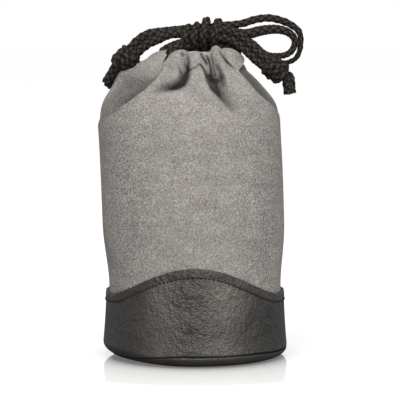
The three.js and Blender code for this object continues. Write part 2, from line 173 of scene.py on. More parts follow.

# The back panel's tuck under the front one, whose depth is also painted in as shade: its changes have a depth
# and shares of the cloth
BACK_TUCK = 3.3
BACK_TUCK_CHANGES = [(-0.3, 0.01, 0.07), (-3, 0, 0.03), (5, 0.8, 0.97)]
BACK_TUCK_RISE = np.array([2, 20])
BACK_TUCK_FALL = (146, 158)
# A strip of painted shade on the back panel by the right slit: its strength, shares of the cloth, rise and
# top
SHADED_STRIP = 5.2
SHADED_STRIP_SHARES = (0.05, 0.12)
SHADED_STRIP_RISE = (125, 134)
SHADED_STRIP_TOP = 158

# Slow waves of a soft wall: strength, waves round the pouch, drift in radians per mm up, start in radians
WALL_WAVES = [(1, 3, 0.045, 0.7), (0.7, 7, -0.06, 2.1), (0.5, 11, 0.11, 0)]
LEATHER_WAVE = 0.09
SUEDE_WAVE = 0.16

# Drawcords
CORD_DIAMETER = 4
CORD_CLEARANCE = 0.5
CHANNEL_RADIUS = 16
LEFT_KNOT_RADIUS = 6
RIGHT_KNOT_RADIUS = 6.3
BRAID_PITCH = 18
BRAID_CARRIERS = 8
BRAID_CORE = 1.25
CARRIER_REACH = 1.5
CARRIER_SWING = 0.34
CARRIER_RADIUS = 1.1
CARRIER_FLATNESS = 0.6
FRAY_FIBRES = 70
FRAY_ROOT = 0.6
FRAY_SPREAD = 0.9
FRAY_SPLAY = (0.1, 0.55)
FRAY_LENGTH = (0.8, 1.6)
FRAY_BEND = 0.12
FRAY_RADII = [0.16, 0.13, 0.05]
# Directions that lie along no cord, from which the sides of a cord and of its fray start
FRAME_START = [0.3, 0.5, 0.81]
FRAY_START = [0.2, 0.9, 0.3]
LEFT_FRAY_SEED = 110
RIGHT_FRAY_SEED = 116
# How full a cord looks along its run, at even steps: the flat braid of the loops turns edge-on at the bend
OUTER_LOOP_FULLNESS = [0.9, 0.9, 0.9, 0.86, 0.66, 0.56, 0.62, 0.7, 0.7]
INNER_LOOP_FULLNESS = [1, 1.14, 1.22, 1.04, 0.78, 0.7, 0.74, 0.8, 0.9]
LEFT_PULL_FULLNESS = [1.12]
PLAIN_FULLNESS = [1]

# Floor, world and lamps, in metres and watts
FLOOR_REACH = 6
PAPER_GREY = 0.55
PAPER_GLOW = 0.85
MIRROR_ROUGHNESS = 0.1
MIRROR_REACH = 0.15
# The mirror's fade: share of its reach from the middle of the base, and strength
MIRROR_FADE = [(0.31, 0.82), (0.35, 0.61), (0.39, 0.48), (0.43, 0.42), (0.51, 0.37), (0.64, 0.32),
               (0.69, 0.19), (1, 0)]
WHITE_UP_TO = (0.2, 0.35)
DIM_LIGHT = 0.25
LAMP_COLOUR = (1.0, 0.965, 0.935)
LAMP_AIM = Vector((0, 0, 0.09))
# Each lamp: name, place, power and width
LAMPS = [("front", (0.45, -1.55, 0.5), 19.5, 1.4), ("top_left", (-0.25, -0.6, 1.35), 10.5, 0.6)]

# Fineness of the meshes
BAND_COLUMNS = 181
BAND_ROWS = 57
BAND_ROW_CROWDING = 1.6
BINDING_ROWS = 13
STITCH_LINE_POINTS = 2000
STITCH_POINTS = 7
STITCH_SIDES = 8
SOLE_COLUMNS = 240
SOLE_ROWS = 18
SOLE_ROW_CROWDING = 1.4
PANEL_SPACING = 0.8
FEWEST_COLUMNS = 10
WALL_ROWS = 72
SHOULDER_ROWS = 96
COLLAR_ROWS = 22
HEM_ROWS = 25
MOUTH_ROWS = 9
LAYER_ROWS = 48
SLEEVE_COLUMNS = 120
PADDING_COLUMNS = 60
TAPE_COLUMNS = 9
DISC_COLUMNS = 120
ROUTE_STEP = 0.5
CURVE_POINTS = 24
RING_POINTS = 25
BRAID_SIDES = 10
FRAY_SIDES = 5

# Sizes that follow from these
wall_radius_full = BASE_RADIUS - WALL_INSET
shoulder_start = HEM_TOP - SHOULDER_HEIGHT
shoulder_rise = SHOULDER_HEIGHT + SHOULDER_APEX_OVER_HEM
wall_bottom = RIM_HEIGHT + GAP
cord_radius = CORD_DIAMETER / 2
channel_half = cord_radius + CORD_CLEARANCE
fold_radius = channel_half + SUEDE
fold_centre = HEM_TOP - fold_radius
upper_ring = fold_centre
lower_ring = upper_ring - CORD_DIAMETER - CORD_CLEARANCE
neck_base = lower_ring - channel_half
hem_end = neck_base - HEM_OVERLAP
pleat_bottom = shoulder_start + PLEAT_START
lap_start = shoulder_start - LAP_BELOW_SHOULDER
slit_free = shoulder_start + SLIT_RISE
back_tuck_rise = shoulder_start + BACK_TUCK_RISE
padding_offset = SUEDE + GAP
lining_offset = padding_offset + WALL_FOAM + GAP
interior_offset = lining_offset + LINING
neck_origin = np.array([NECK_OFFSET, 0, HEM_TOP])


def smoothstep(value, low, high):
    share = np.clip((value - low) / (high - low), 0, 1)
    return share * share * (3 - 2 * share)


def mix(a, b, share):
    return a + (b - a) * share


def polar(radius, angle, height, centre=0.0):
    x = centre + radius * np.sin(angle)
    y = -radius * np.cos(angle)
    return np.stack(np.broadcast_arrays(x, y, height), -1).astype(float)


def unit(vectors):
    return vectors / np.maximum(np.linalg.norm(vectors, axis=-1, keepdims=True), 1e-9)


def walk(path):
    """The way along a path at each of its points."""
    return np.concatenate([[0], np.cumsum(np.linalg.norm(np.diff(path, axis=0), axis=1))])


def along(path, ways):
    """The points of a path at the given ways along it."""
    walked = walk(path)
    return np.stack([np.interp(ways, walked, path[:, axis]) for axis in range(3)], -1)


# Camera

view_forward = np.array([0, math.cos(CAMERA_ELEVATION), -math.sin(CAMERA_ELEVATION)])
view_up = np.array([0, math.sin(CAMERA_ELEVATION), math.cos(CAMERA_ELEVATION)])
eye = CAMERA_TARGET - CAMERA_DISTANCE * view_forward


def photo_pixels(points):
    offset = points - eye
    depth = offset @ view_forward
    x = PICTURE / 2 + FOCAL_PIXELS * offset[..., 0] / depth
    y = PICTURE / 2 - FOCAL_PIXELS * (offset @ view_up) / depth
    return np.stack([x, y], -1)


def make_camera():
    data = bpy.data.cameras.new("camera")
    data.sensor_width = SENSOR
    data.lens = SENSOR * FOCAL_PIXELS / PICTURE
    data.clip_end = CAMERA_CLIP_END
    camera = bpy.data.objects.new("camera", data)
    bpy.context.scene.collection.objects.link(camera)
    camera.location = Vector(eye * MM)
    camera.rotation_euler = Vector(view_forward).to_track_quat("-Z", "Y").to_euler()
    bpy.context.scene.camera = camera


# Meshes


def loop_faces(columns, count, ring=True):
    """Faces along a row of closed loops with so many points each; in a ring the last loop joins the first."""
    near = np.arange(columns if ring else columns - 1)[:, None] * count
    far = (near + count) % (columns * count)
    row = np.arange(count)[None, :]
    up = (row + 1) % count
    return np.stack([near + row, far + row, far + up, near + up], -1).reshape(-1, 4)


def both_faces(outer, inner):
    """Values of the outer grid and then of the inner one, as one closed loop for each column."""
    return np.concatenate([outer, inner[:, ::-1]], 1)


def shell(outer, inner, ring=False):
    """A closed solid between two grids of points of the shape columns x rows."""
    loops = both_faces(outer, inner)
    columns, count = loops.shape[:2]
    faces = [loop_faces(columns, count, ring)]
    if not ring:
        row = np.arange(outer.shape[1] - 1)
        cap = np.stack([count - 1 - row, row, row + 1, count - 2 - row], -1)
        faces += [cap, cap[:, ::-1] + (columns - 1) * count]
    return loops.reshape(-1, 3), np.concatenate(faces)


def joined(shapes):
    """One mesh made of several."""
    starts = np.cumsum([0] + [len(points) for points, _ in shapes])
    faces = [faces + start for (_, faces), start in zip(shapes, starts)]
    return np.concatenate([points for points, _ in shapes]), np.concatenate(faces)


def grid_normals(grid):
    """Outward unit normals of a grid whose columns run round the pouch and rows run up."""
    return unit(np.cross(np.gradient(grid, axis=0), np.gradient(grid, axis=1)))


def lathe(profile, columns):
    """A solid turned round Z from a closed loop of (radius, height) points."""
    angles = np.linspace(0, TAU, columns, endpoint=False)[:, None]
    loop = np.array(profile, float)
    return polar(loop[:, 0], angles, loop[:, 1]).reshape(-1, 3), loop_faces(columns, len(loop))


def make_piece(name, shape, material, nodes, attributes=None, body="pouch"):
    """A piece that rides with a body and shows in place of the nodes."""
    points, faces = shape
    mesh = bpy.data.meshes.new(name)
    # a face that names its last corner twice is a triangle
    corners = [face[:3] if face[2] == face[3] else face for face in faces.tolist()]
    mesh.from_pydata((points * MM).tolist(), [], corners)
    for key, values in (attributes or {}).items():
        layer = mesh.attributes.new(key, "FLOAT", "POINT")
        layer.data.foreach_set("value", np.asarray(values, np.float32))
    mesh.materials.append(material)
    mesh.shade_smooth()
    piece = bpy.data.objects.new(name, mesh)
    bpy.context.scene.collection.objects.link(piece)
    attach(piece, body)
    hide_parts(*nodes)
    return piece


# Materials


class Nodes:
    """A short way to write a node tree."""

    def __init__(self, tree):
        self.tree = tree

    def plug(self, value, socket):
        if isinstance(value, bpy.types.NodeSocket):
            self.tree.links.new(value, socket)
        else:
            socket.default_value = value

    def add(self, kind, *ordered, settings=None, **named):
        """The outputs of a new node. Its inputs get a value or a link, in their order or by name."""
        node = self.tree.nodes.new("ShaderNode" + kind)
        for key, value in (settings or {}).items():
            setattr(node, key, value)
        for value, socket in zip(ordered, node.inputs):
            self.plug(value, socket)
        for key, value in named.items():
            self.plug(value, node.inputs[key])
        return node.outputs

    def math(self, operation, a, b):
        return self.add("Math", a, b, settings={"operation": operation})["Value"]

    def weighted(self, *terms):
        """The sum of values, each times its weight."""
        total = 0.0
        for value, weight in terms:
            total = self.math("ADD", total, self.math("MULTIPLY", value, weight))
        return total

    def eased(self, source, low, high, at_low, at_high):
        """A value that runs from one level to another between two values of the source."""
        return self.add("MapRange", source, low, high, at_low, at_high)["Result"]


class Surface(Nodes):
    """The node tree of a material."""

    def __init__(self, name):
        self.material = bpy.data.materials.new(name)
        self.material.use_nodes = True
        super().__init__(self.material.node_tree)
        self.shader = self.tree.nodes["Principled BSDF"]
        self.place = self.add("TexCoord")["Object"]

    def set(self, **values):
        for key, value in values.items():
            self.plug(value, self.shader.inputs[key.replace("_", " ")])

    def scaled(self, factors):
        return self.add("Mapping", Vector=self.place, Scale=factors)["Vector"]

    def noise(self, size_mm, detail=2.0, roughness=0.5, vector=None):
        fineness = 1 / (size_mm * MM)
        place = vector or self.place
        return self.add("TexNoise", Vector=place, Scale=fineness, Detail=detail, Roughness=roughness)["Fac"]

    def cells(self, size_mm):
        return self.add("TexVoronoi", Vector=self.place, Scale=1 / (size_mm * MM))["Distance"]

    def ramp(self, source, *stops):
        node = self.tree.nodes.new("ShaderNodeValToRGB")
        elements = node.color_ramp.elements
        while len(elements) < len(stops):
            elements.new(0.5)
        for element, (position, colour) in zip(elements, stops):
            element.position = position
            element.color = colour
        self.plug(source, node.inputs["Fac"])
        return node.outputs["Color"]

    def blend(self, factor, a, b, kind="MIX"):
        settings = {"data_type": "RGBA", "blend_type": kind}
        return self.add("Mix", settings=settings, Factor=factor, A=a, B=b)["Result"]

    def times(self, a, b):
        return self.blend(1.0, a, b, "MULTIPLY")

    def attribute(self, name):
        return self.add("Attribute", settings={"attribute_name": name})["Fac"]

    def bump(self, height, depth_mm, strength=1.0):
        self.set(Normal=self.add("Bump", Height=height, Distance=depth_mm * MM, Strength=strength)["Normal"])


def grey(value, warmth=0.0):
    return (value * (1 + warmth), value, value * (1 - warmth), 1)


def suede_material():
    """Napped suede, with painted shade in its hollows and its grain painted more contrasty at the sides, as
    grazing light shows it.
    """
    n = Surface("suede")
    fibres = n.noise(0.85, detail=4, roughness=0.75)
    patches = n.noise(7, detail=3, roughness=0.6, vector=n.scaled((0.6, 0.6, 1.3)))
    smooth = n.ramp(fibres, (0.32, grey(0.15, 0.045)), (0.5, grey(0.32, 0.04)), (0.68, grey(0.54, 0.035)))
    # grain painted with more contrast, standing in for grazing light at the sides
    grazing_grain = n.ramp(fibres, (0.32, grey(0.05, 0.045)), (0.5, grey(0.3, 0.04)), (0.68, grey(0.66, 0.035)))
    brushed = n.ramp(patches, (0.3, grey(0.87)), (0.7, grey(1.13)))
    # painted shade: the colour is darkened in the hollows of the folds
    pressed_and_shaded = n.ramp(n.attribute("painted_shade"), (0.0, grey(1.0)), (0.75, grey(0.4)), (1.0, grey(0.08)))
    n.set(Base_Color=n.times(n.blend(n.attribute("side"), smooth, grazing_grain), n.times(brushed, pressed_and_shaded)))
    n.set(Roughness=0.95, Specular_IOR_Level=0.1)
    n.set(Sheen_Weight=0.2, Sheen_Roughness=0.5, Sheen_Tint=grey(0.75, 0.03))
    n.bump(fibres, 0.6, strength=0.8)
    return n.material


def leather_material(name, specular):
    """Grained leather, creased where it wrinkles, and paler where it has painted highlights."""
    n = Surface(name)
    grain = n.noise(1.0, detail=1.5)
    streaks = n.noise(2.2, detail=2, roughness=0.45, vector=n.scaled((1, 1, 0.65)))
    rumple = n.noise(11, detail=1)
    dye = n.ramp(n.noise(16, detail=2), (0.3, grey(0.008, 0.12)), (0.7, grey(0.015, 0.12)))
    # painted highlight: the tone attribute makes the dye paler in streaks
    wear_and_highlight = n.ramp(n.math("DIVIDE", n.attribute("tone_and_highlight"), BRIGHTEST_TONE), (0.0, grey(0.5)), (1.0, grey(10.5)))
    n.set(Base_Color=n.times(dye, wear_and_highlight), Specular_IOR_Level=specular)
    n.set(Roughness=n.ramp(grain, (0.3, grey(0.44)), (0.7, grey(0.58))))
    folds = n.weighted((streaks, 1.3), (rumple, 2.0), (grain, 0.8))
    creased = n.math("MULTIPLY", folds, n.attribute("wrinkled"))
    n.bump(n.weighted((creased, 1.0), (n.noise(0.6), 0.12)), 1.05)
    return n.material


def cord_material():
    """Black yarn, with painted shade between the strands of the braid and a painted highlight where a strand
    lies on top.
    """
    n = Surface("cord")
    lint = n.noise(0.5, detail=3, roughness=0.7)
    painted_strand_light = n.attribute("painted_strand_light")
    # painted highlight on the strands' tops and painted shade between them
    yarn = n.ramp(painted_strand_light, (0.0, grey(0.002, 0.14)), (0.45, grey(0.008, 0.2)), (1.0, grey(0.052, 0.2)))
    wear_and_highlight = n.ramp(lint, (0.3, grey(0.4)), (0.7, grey(1.4)))
    n.set(Base_Color=n.times(yarn, wear_and_highlight), Roughness=0.6, Specular_IOR_Level=0.25)
    n.set(Sheen_Weight=0.02, Sheen_Roughness=0.4, Sheen_Tint=grey(0.6, 0.08))
    n.bump(lint, 0.3, strength=0.8)
    return n.material


def thread_material():
    n = Surface("thread")
    ply = n.noise(0.3, detail=2)
    n.set(Base_Color=n.ramp(ply, (0.3, grey(0.006)), (0.7, grey(0.02, 0.05))), Roughness=0.6)
    n.bump(ply, 0.1)
    return n.material


def lining_material():
    n = Surface("lining")
    pile = n.noise(0.4, detail=3, roughness=0.7)
    n.set(Base_Color=n.ramp(pile, (0.3, grey(0.04, 0.03)), (0.7, grey(0.1, 0.03))), Roughness=0.95)
    n.set(Sheen_Weight=0.3, Sheen_Roughness=0.6)
    n.bump(pile, 0.3, strength=0.7)
    return n.material


def foam_material():
    n = Surface("foam")
    pores = n.cells(0.7)
    n.set(Base_Color=n.ramp(pores, (0.1, grey(0.02)), (0.5, grey(0.065))), Roughness=1.0)
    n.bump(pores, 0.3, strength=0.7)
    return n.material


def board_material():
    n = Surface("board")
    chips = n.noise(1.2, detail=4, roughness=0.7)
    fibre = n.ramp(chips, (0.3, (0.07, 0.05, 0.036, 1)), (0.7, (0.15, 0.115, 0.085, 1)))
    n.set(Base_Color=fibre, Roughness=0.9)
    n.bump(chips, 0.1)
    return n.material


suede = suede_material()
leather = leather_material("leather", 1.0)
binding_leather = leather_material("binding_leather", 0.8)
cord = cord_material()
thread = thread_material()
lining = lining_material()
foam = foam_material()
board = board_material()


# Band and sole


def band_radius(height):
    rise = np.clip((height - RIM_HEIGHT) / (BAND_SIDE_HEIGHT + BAND_CREST_RISE - RIM_HEIGHT), 0, 1)
    return BASE_RADIUS - BAND_SETBACK - BAND_DRAW * (1 - (1 - rise) ** 2)


def band_top(angle):
    turn = np.abs(np.arcsin(np.sin(angle)))
    share = np.minimum(turn / BAND_CREST_SPREAD, 1)
    return BAND_SIDE_HEIGHT + BAND_CREST_RISE * 0.5 * (1 + np.cos(math.pi * share))


def half_angles(facing, count):
    edge = math.pi / 2 - GAP / 2 / BASE_RADIUS
    return np.linspace(facing - edge, facing + edge, count)


def swell(angle, height, size):
    """Slow, shallow waves of a soft wall."""
    waves = [strength * np.sin(count * angle + drift * height + start)
             for strength, count, drift, start in WALL_WAVES]
    return size * sum(waves)


def leftness(angle):
    """The base is rolled under further on its left side, from 0 at the front to 1 at the left."""
    return smoothstep(-np.sin(angle), *LEFT_ROLL_SINES)


def seam_height(angle):
    """Where the sole meets the band."""
    drop = LEFT_SEAM_DROP * leftness(angle) + RIGHT_SEAM_DROP * smoothstep(np.sin(angle), *RIGHT_SEAM_SINES)
    return RIM_HEIGHT + SEAM_OVER_RIM - drop


def body_radius(angle, height):
    """The outside of band and sole, rolled under at the bottom."""
    roll_height = RIM_HEIGHT + LEFT_ROLL_RISE * leftness(angle)
    roll_width = SOLE_ROLL_WIDTH + LEFT_ROLL_SPREAD * leftness(angle)
    below = 1 - np.clip(height / roll_height, 0, 1)
    return band_radius(height) - roll_width * (1 - np.sqrt(1 - below ** 2))


def side_seam(angles, facing, depth):
    """The dip where two halves of the band meet."""
    away = (np.abs(angles - facing) - math.pi / 2) * BASE_RADIUS
    return depth * np.exp(-(away / SIDE_SEAM_WIDTH) ** 2)


def band_half(facing):
    angles = half_angles(facing, BAND_COLUMNS)[:, None]
    climb = np.linspace(0, 1, BAND_ROWS)[None, :] ** BAND_ROW_CROWDING
    low = seam_height(angles) + BAND_OVER_SEAM
    height = mix(low, band_top(angles) - BINDING_WIDTH, climb)
    tuck = BAND_TUCK * (1 - smoothstep(height, low, low + BAND_TUCK_REACH))
    tuck = tuck + BAND_TOP_TUCK * smoothstep(climb, *BAND_TOP_SHARES)
    dips = side_seam(angles, facing, BAND_SEAM_DIP) - swell(angles, height, LEATHER_WAVE)
    radius = body_radius(angles, height) - tuck - dips
    return shell(polar(radius, angles, height), polar(radius - LEATHER, angles, height))


def wrinkled(points):
    """How far the leather is creased: most in the middle of the front and back, little at the sides."""
    middle = np.where(points[:, 1] < 0, WRINKLES_OFF_CENTRE, -WRINKLES_OFF_CENTRE)
    lower = mix(WRINKLED_BELOW, 1, smoothstep(points[:, 2], *WRINKLES_RISE))
    return mix(LEAST_WRINKLED, 1, lower * np.exp(-((points[:, 0] - middle) / WRINKLES_REACH) ** 4))


def tone_and_highlight(points):
    """Painted highlight: paler upright streaks on the front and the back, most near the top on the right."""
    across = points[:, 0] * np.where(points[:, 1] < 0, 1, -1)
    high = smoothstep(points[:, 2], *HIGHLIGHT_STREAK_RISE)
    streaks = [mix(below, above, high) * np.exp(-((across - place) / HIGHLIGHT_STREAK_WIDTH) ** 2)
               for place, below, above in HIGHLIGHT_STREAKS]
    return sum(streaks)


def binding_half(facing):
    """A rolled strip along the band's top."""
    angles = half_angles(facing, BAND_COLUMNS)[:, None]
    turn = np.linspace(0, math.pi, BINDING_ROWS)[None, :]
    middle = band_top(angles) - BINDING_WIDTH / 2
    height = middle - BINDING_WIDTH / 2 * np.cos(turn)
    bulge = BINDING_BULGE * np.sin(turn) ** BINDING_ROUNDNESS
    out = bulge - BINDING_SINK - side_seam(angles, facing, BINDING_SEAM_DIP)
    outer = polar(band_radius(height) + out, angles, height)
    inner_height = middle - (BINDING_WIDTH / 2 - BINDING_INSET) * np.cos(turn)
    return shell(outer, polar(band_radius(height) - LEATHER, angles, inner_height))


def stitches(facing):
    """Separate stitches along the lower edge of the binding, each a small capsule that dips at its ends."""
    angles = half_angles(facing, STITCH_LINE_POINTS)
    height = band_top(angles) - BINDING_WIDTH - STITCH_BELOW_BINDING
    line = polar(band_radius(height) + STITCH_OUT, angles, height)
    length = walk(line)[-1]
    count = int(length // STITCH_PITCH)
    share = np.linspace(-0.5, 0.5, STITCH_POINTS)
    arch = np.cos(share * math.pi)
    radius = STITCH_RADIUS * mix(STITCH_END, 1, np.sqrt(np.maximum(arch, 0)))
    capsules = []
    for index in range(count):
        centre = along(line, (index + 0.5) * length / count + STITCH_LENGTH * share)
        outward = unit(centre * np.array([1, 1, 0]))
        centre = centre + outward * (STITCH_ARCH * arch - STITCH_SINK)[:, None]
        capsules.append(tube(centre, radius, STITCH_SIDES))
    return joined(capsules)


def sole():
    """A shallow dish with a rolled rim and a lip."""
    angles = np.linspace(0, TAU, SOLE_COLUMNS, endpoint=False)[:, None]
    top = seam_height(angles)
    rim = body_radius(angles, top)
    height = (top - SOLE_EDGE_DROP) * np.linspace(0, 1, SOLE_ROWS)[None, :] ** SOLE_ROW_CROWDING
    axis = np.full_like(top, AXIS_RADIUS)
    floor = np.full_like(top, LEATHER)
    lip_radii = [rim - inset for inset, _ in SOLE_LIP]
    lip_heights = [top - drop for _, drop in SOLE_LIP]
    radii = [axis, body_radius(angles, height), *lip_radii, rim - SOLE_FLOOR_INSET, axis]
    heights = [0 * top, height, *lip_heights, floor, floor]
    grid = polar(np.concatenate(radii, 1), angles, np.concatenate(heights, 1))
    return grid.reshape(-1, 3), loop_faces(*grid.shape[:2])


# Suede panels


def lean_at(height):
    belly = BELLY_SHIFT * np.exp(-((height - BELLY_HEIGHT) / BELLY_REACH) ** 2)
    return belly - WALL_LEAN * smoothstep(height, LEAN_START, HEM_TOP)


def right_fullness(angle, height):
    """The right shoulder is a little fuller than the dome."""
    turn = (angle - RIGHT_FULLNESS_ANGLE) / RIGHT_FULLNESS_SPREAD
    climb = (height - RIGHT_FULLNESS_HEIGHT) / RIGHT_FULLNESS_REACH
    return RIGHT_FULLNESS * np.exp(-turn ** 2 - climb ** 2)


def shoulder_radius(height):
    climb = np.maximum(height - shoulder_start, 0) / shoulder_rise
    return wall_radius_full * np.sqrt(np.maximum(1 - climb ** 2, 0))


def suede_radius(angle, height):
    tucked = band_radius(height) - LEATHER - GAP
    free = smoothstep(height - band_top(angle), 0, TUCK_REACH)
    return mix(tucked, shoulder_radius(height), free)


def wall_surface(angles, heights, offset):
    angles = angles[:, None]
    heights = heights[None, :]
    return polar(suede_radius(angles, heights) - offset, angles, heights, lean_at(heights))


def wall_layer(angles, offset, thickness, ring=False):
    heights = np.linspace(wall_bottom, shoulder_start, LAYER_ROWS)
    outer, inner = (wall_surface(angles, heights, depth) for depth in (offset, offset + thickness))
    return shell(outer, inner, ring)


# Where the front panel's edges run: up the side seams, then forward over the shoulder along the slits.
# Each is an angle on the wall, an angle at the neck, and the heights between which it turns forward.
LEFT_SLIT = (deg(-90), deg(-50), 120.5, 138)
RIGHT_SLIT = (deg(90), deg(59), 122, 146)
SLIT_OVERLAP = deg(12)

# The pleats of each panel, from its left edge to its right edge seen from outside. Each row is the valley
# to the left of a pleat: its angle on the hem and at the neck's base, how far out it lies there (0 on the
# neck, 1 on the shoulder's dome), the height where it starts, and the share of the cloth left of it. Then
# how far out the pleat's ridge lies on the hem and at the base, and its rise over the hem.
FRONT_PLEATS = [
    (-53, -24, 0.75, 1.0, 142, 0.0, 1.0, 1.0, 1.4),
    (-25, -3, 0.0, 0.7, 147, 0.43, 0.9, 1.0, 0.7),
    (0.7, 18, 0.3, 0.95, 146, 0.6, 0.6, 0.75, 0.4),
    (12, 22, 0.25, 0.6, 143, 0.645, 0.7, 0.75, 0.4),
    (20, 28, 0.05, 0.6, 143, 0.69, 1.0, 1.0, 3.6),
    (39, 49, 0.4, 0.95, 147, 0.97, 1.0, 1.0, 2.2),
    (81, 56, 1.3, 1.0, 147, 1.0, 0.0, 0.0, 0.0),
]
BACK_PLEATS = [
    (112, 46, 0.6, 1.0, 140, 0.0, 1.0, 1.0, 1.6),
    (134, 122, 0.0, 0.3, 134, 0.16, 1.0, 1.0, 1.2),
    (150, 145, 0.0, 0.3, 134, 0.28, 1.0, 1.0, 1.6),
    (172, 168, 0.0, 0.3, 134, 0.41, 1.0, 1.0, 1.2),
    (190, 189, 0.0, 0.3, 134, 0.52, 1.0, 1.0, 1.5),
    (212, 213, 0.0, 0.3, 134, 0.63, 1.0, 1.0, 1.1),
    (231, 238, 0.0, 0.3, 134, 0.73, 1.0, 1.0, 1.8),
    (254, 272, 0.0, 0.5, 138, 0.85, 1.0, 1.0, 1.3),
    (302, 348, 0.6, 1.0, 146, 1.0, 0.0, 0.0, 0.0),
]


def slit_angle(slit, height):
    wall, neck, low, high = slit
    return mix(wall, neck, smoothstep(height, low, high))


def panel_columns(pleats):
    """Columns of a panel: share of the cloth, angle at the hem and base, ridge there, start and lift."""
    columns = []
    for left, right in zip(pleats[:-1], pleats[1:]):
        hem_left, base_left, hem_low, base_low, start, share, hem_high, base_high, lift = left
        hem_right, base_right, next_hem_low, next_base_low, next_start, next_share = right[:6]
        cloth = (next_share - share) * math.pi * wall_radius_full
        hem = deg(hem_right - hem_left) * CHANNEL_RADIUS * 2
        count = max(int(max(cloth, hem) / PANEL_SPACING), FEWEST_COLUMNS)
        part = np.arange(count + 1 if right is pleats[-1] else count) / count
        arch = np.maximum(np.sin(math.pi * part), 0) ** PLEAT_ROUNDNESS
        hem_valley = mix(hem_low, next_hem_low, part)
        base_valley = mix(base_low, next_base_low, part)
        columns.append(np.stack([
            mix(share, next_share, part),
            np.radians(mix(hem_left, hem_right, part)),
            np.radians(mix(base_left, base_right, part)),
            mix(hem_valley, hem_high, arch),
            mix(base_valley, base_high, arch),
            mix(start, next_start, part),
            lift * arch,
        ]))
    return np.concatenate(columns, 1)[:, :, None]


def panel_surface(columns, left_edge, right_edge):
    """The outside of a panel: up the wall, over the shoulder, up the collar, round the hem, down inside."""
    share, hem_angle, base_angle, hem_ridge, base_ridge, start, lift = columns
    neck_radius = CHANNEL_RADIUS + fold_radius
    wall = np.linspace(wall_bottom, shoulder_start, WALL_ROWS)
    shoulder = np.linspace(shoulder_start, neck_base, SHOULDER_ROWS + 1)[1:]
    height = np.concatenate([wall, shoulder])[None, :]
    gathered = smoothstep(height, pleat_bottom, neck_base)
    angle = mix(mix(left_edge(height), right_edge(height), share), base_angle, gathered)
    wave = swell(angle, height, SUEDE_WAVE) * (1 - gathered)
    radius = suede_radius(angle, height) + wave + right_fullness(angle, height)
    dome = polar(radius, angle, height, lean_at(height))
    neck = polar(neck_radius, angle, height, NECK_OFFSET)
    sunk = (1 - base_ridge) * smoothstep(height, start, neck_base)
    parts = [mix(dome, neck, sunk[..., None])]

    rise = np.linspace(0, 1, COLLAR_ROWS + 2)[None, 1:-1]
    height = mix(neck_base, fold_centre, rise)
    angle = mix(base_angle, hem_angle, smoothstep(rise, 0, 1))
    crest_radius = mix(shoulder_radius(neck_base), neck_radius + PLEAT_OUT, rise ** COLLAR_FLARE)
    crest = polar(crest_radius, angle, height, mix(lean_at(neck_base), NECK_OFFSET, rise))
    neck = polar(neck_radius, angle, height, NECK_OFFSET)
    ridge = mix(base_ridge, hem_ridge, rise)
    parts.append(mix(neck, crest, ridge[..., None]))

    turn = np.linspace(0, math.pi, HEM_ROWS)[None, :]
    out, up = np.cos(turn), np.sin(turn)
    spread = np.where(out > 0, PLEAT_OUT, PLEAT_IN) * out
    radius = CHANNEL_RADIUS + fold_radius * out + spread * hem_ridge
    height = fold_centre + (fold_radius + lift) * up
    parts.append(polar(radius, hem_angle, height, NECK_OFFSET))

    inner = np.linspace(fold_centre, hem_end, MOUTH_ROWS + 1)[None, 1:]
    mouth = CHANNEL_RADIUS - fold_radius - PLEAT_IN * hem_ridge
    parts.append(polar(mouth + 0 * inner, hem_angle, inner + 0 * mouth, NECK_OFFSET))
    return np.concatenate(parts, 1)


# Rows of a panel below the turn of its hem, and how many rows on the turn have creases and the left puff
outer_rows = WALL_ROWS + SHOULDER_ROWS + COLLAR_ROWS
CREASED_HEM_ROWS = 8
PUFFED_HEM_ROWS = np.array([5, 14])
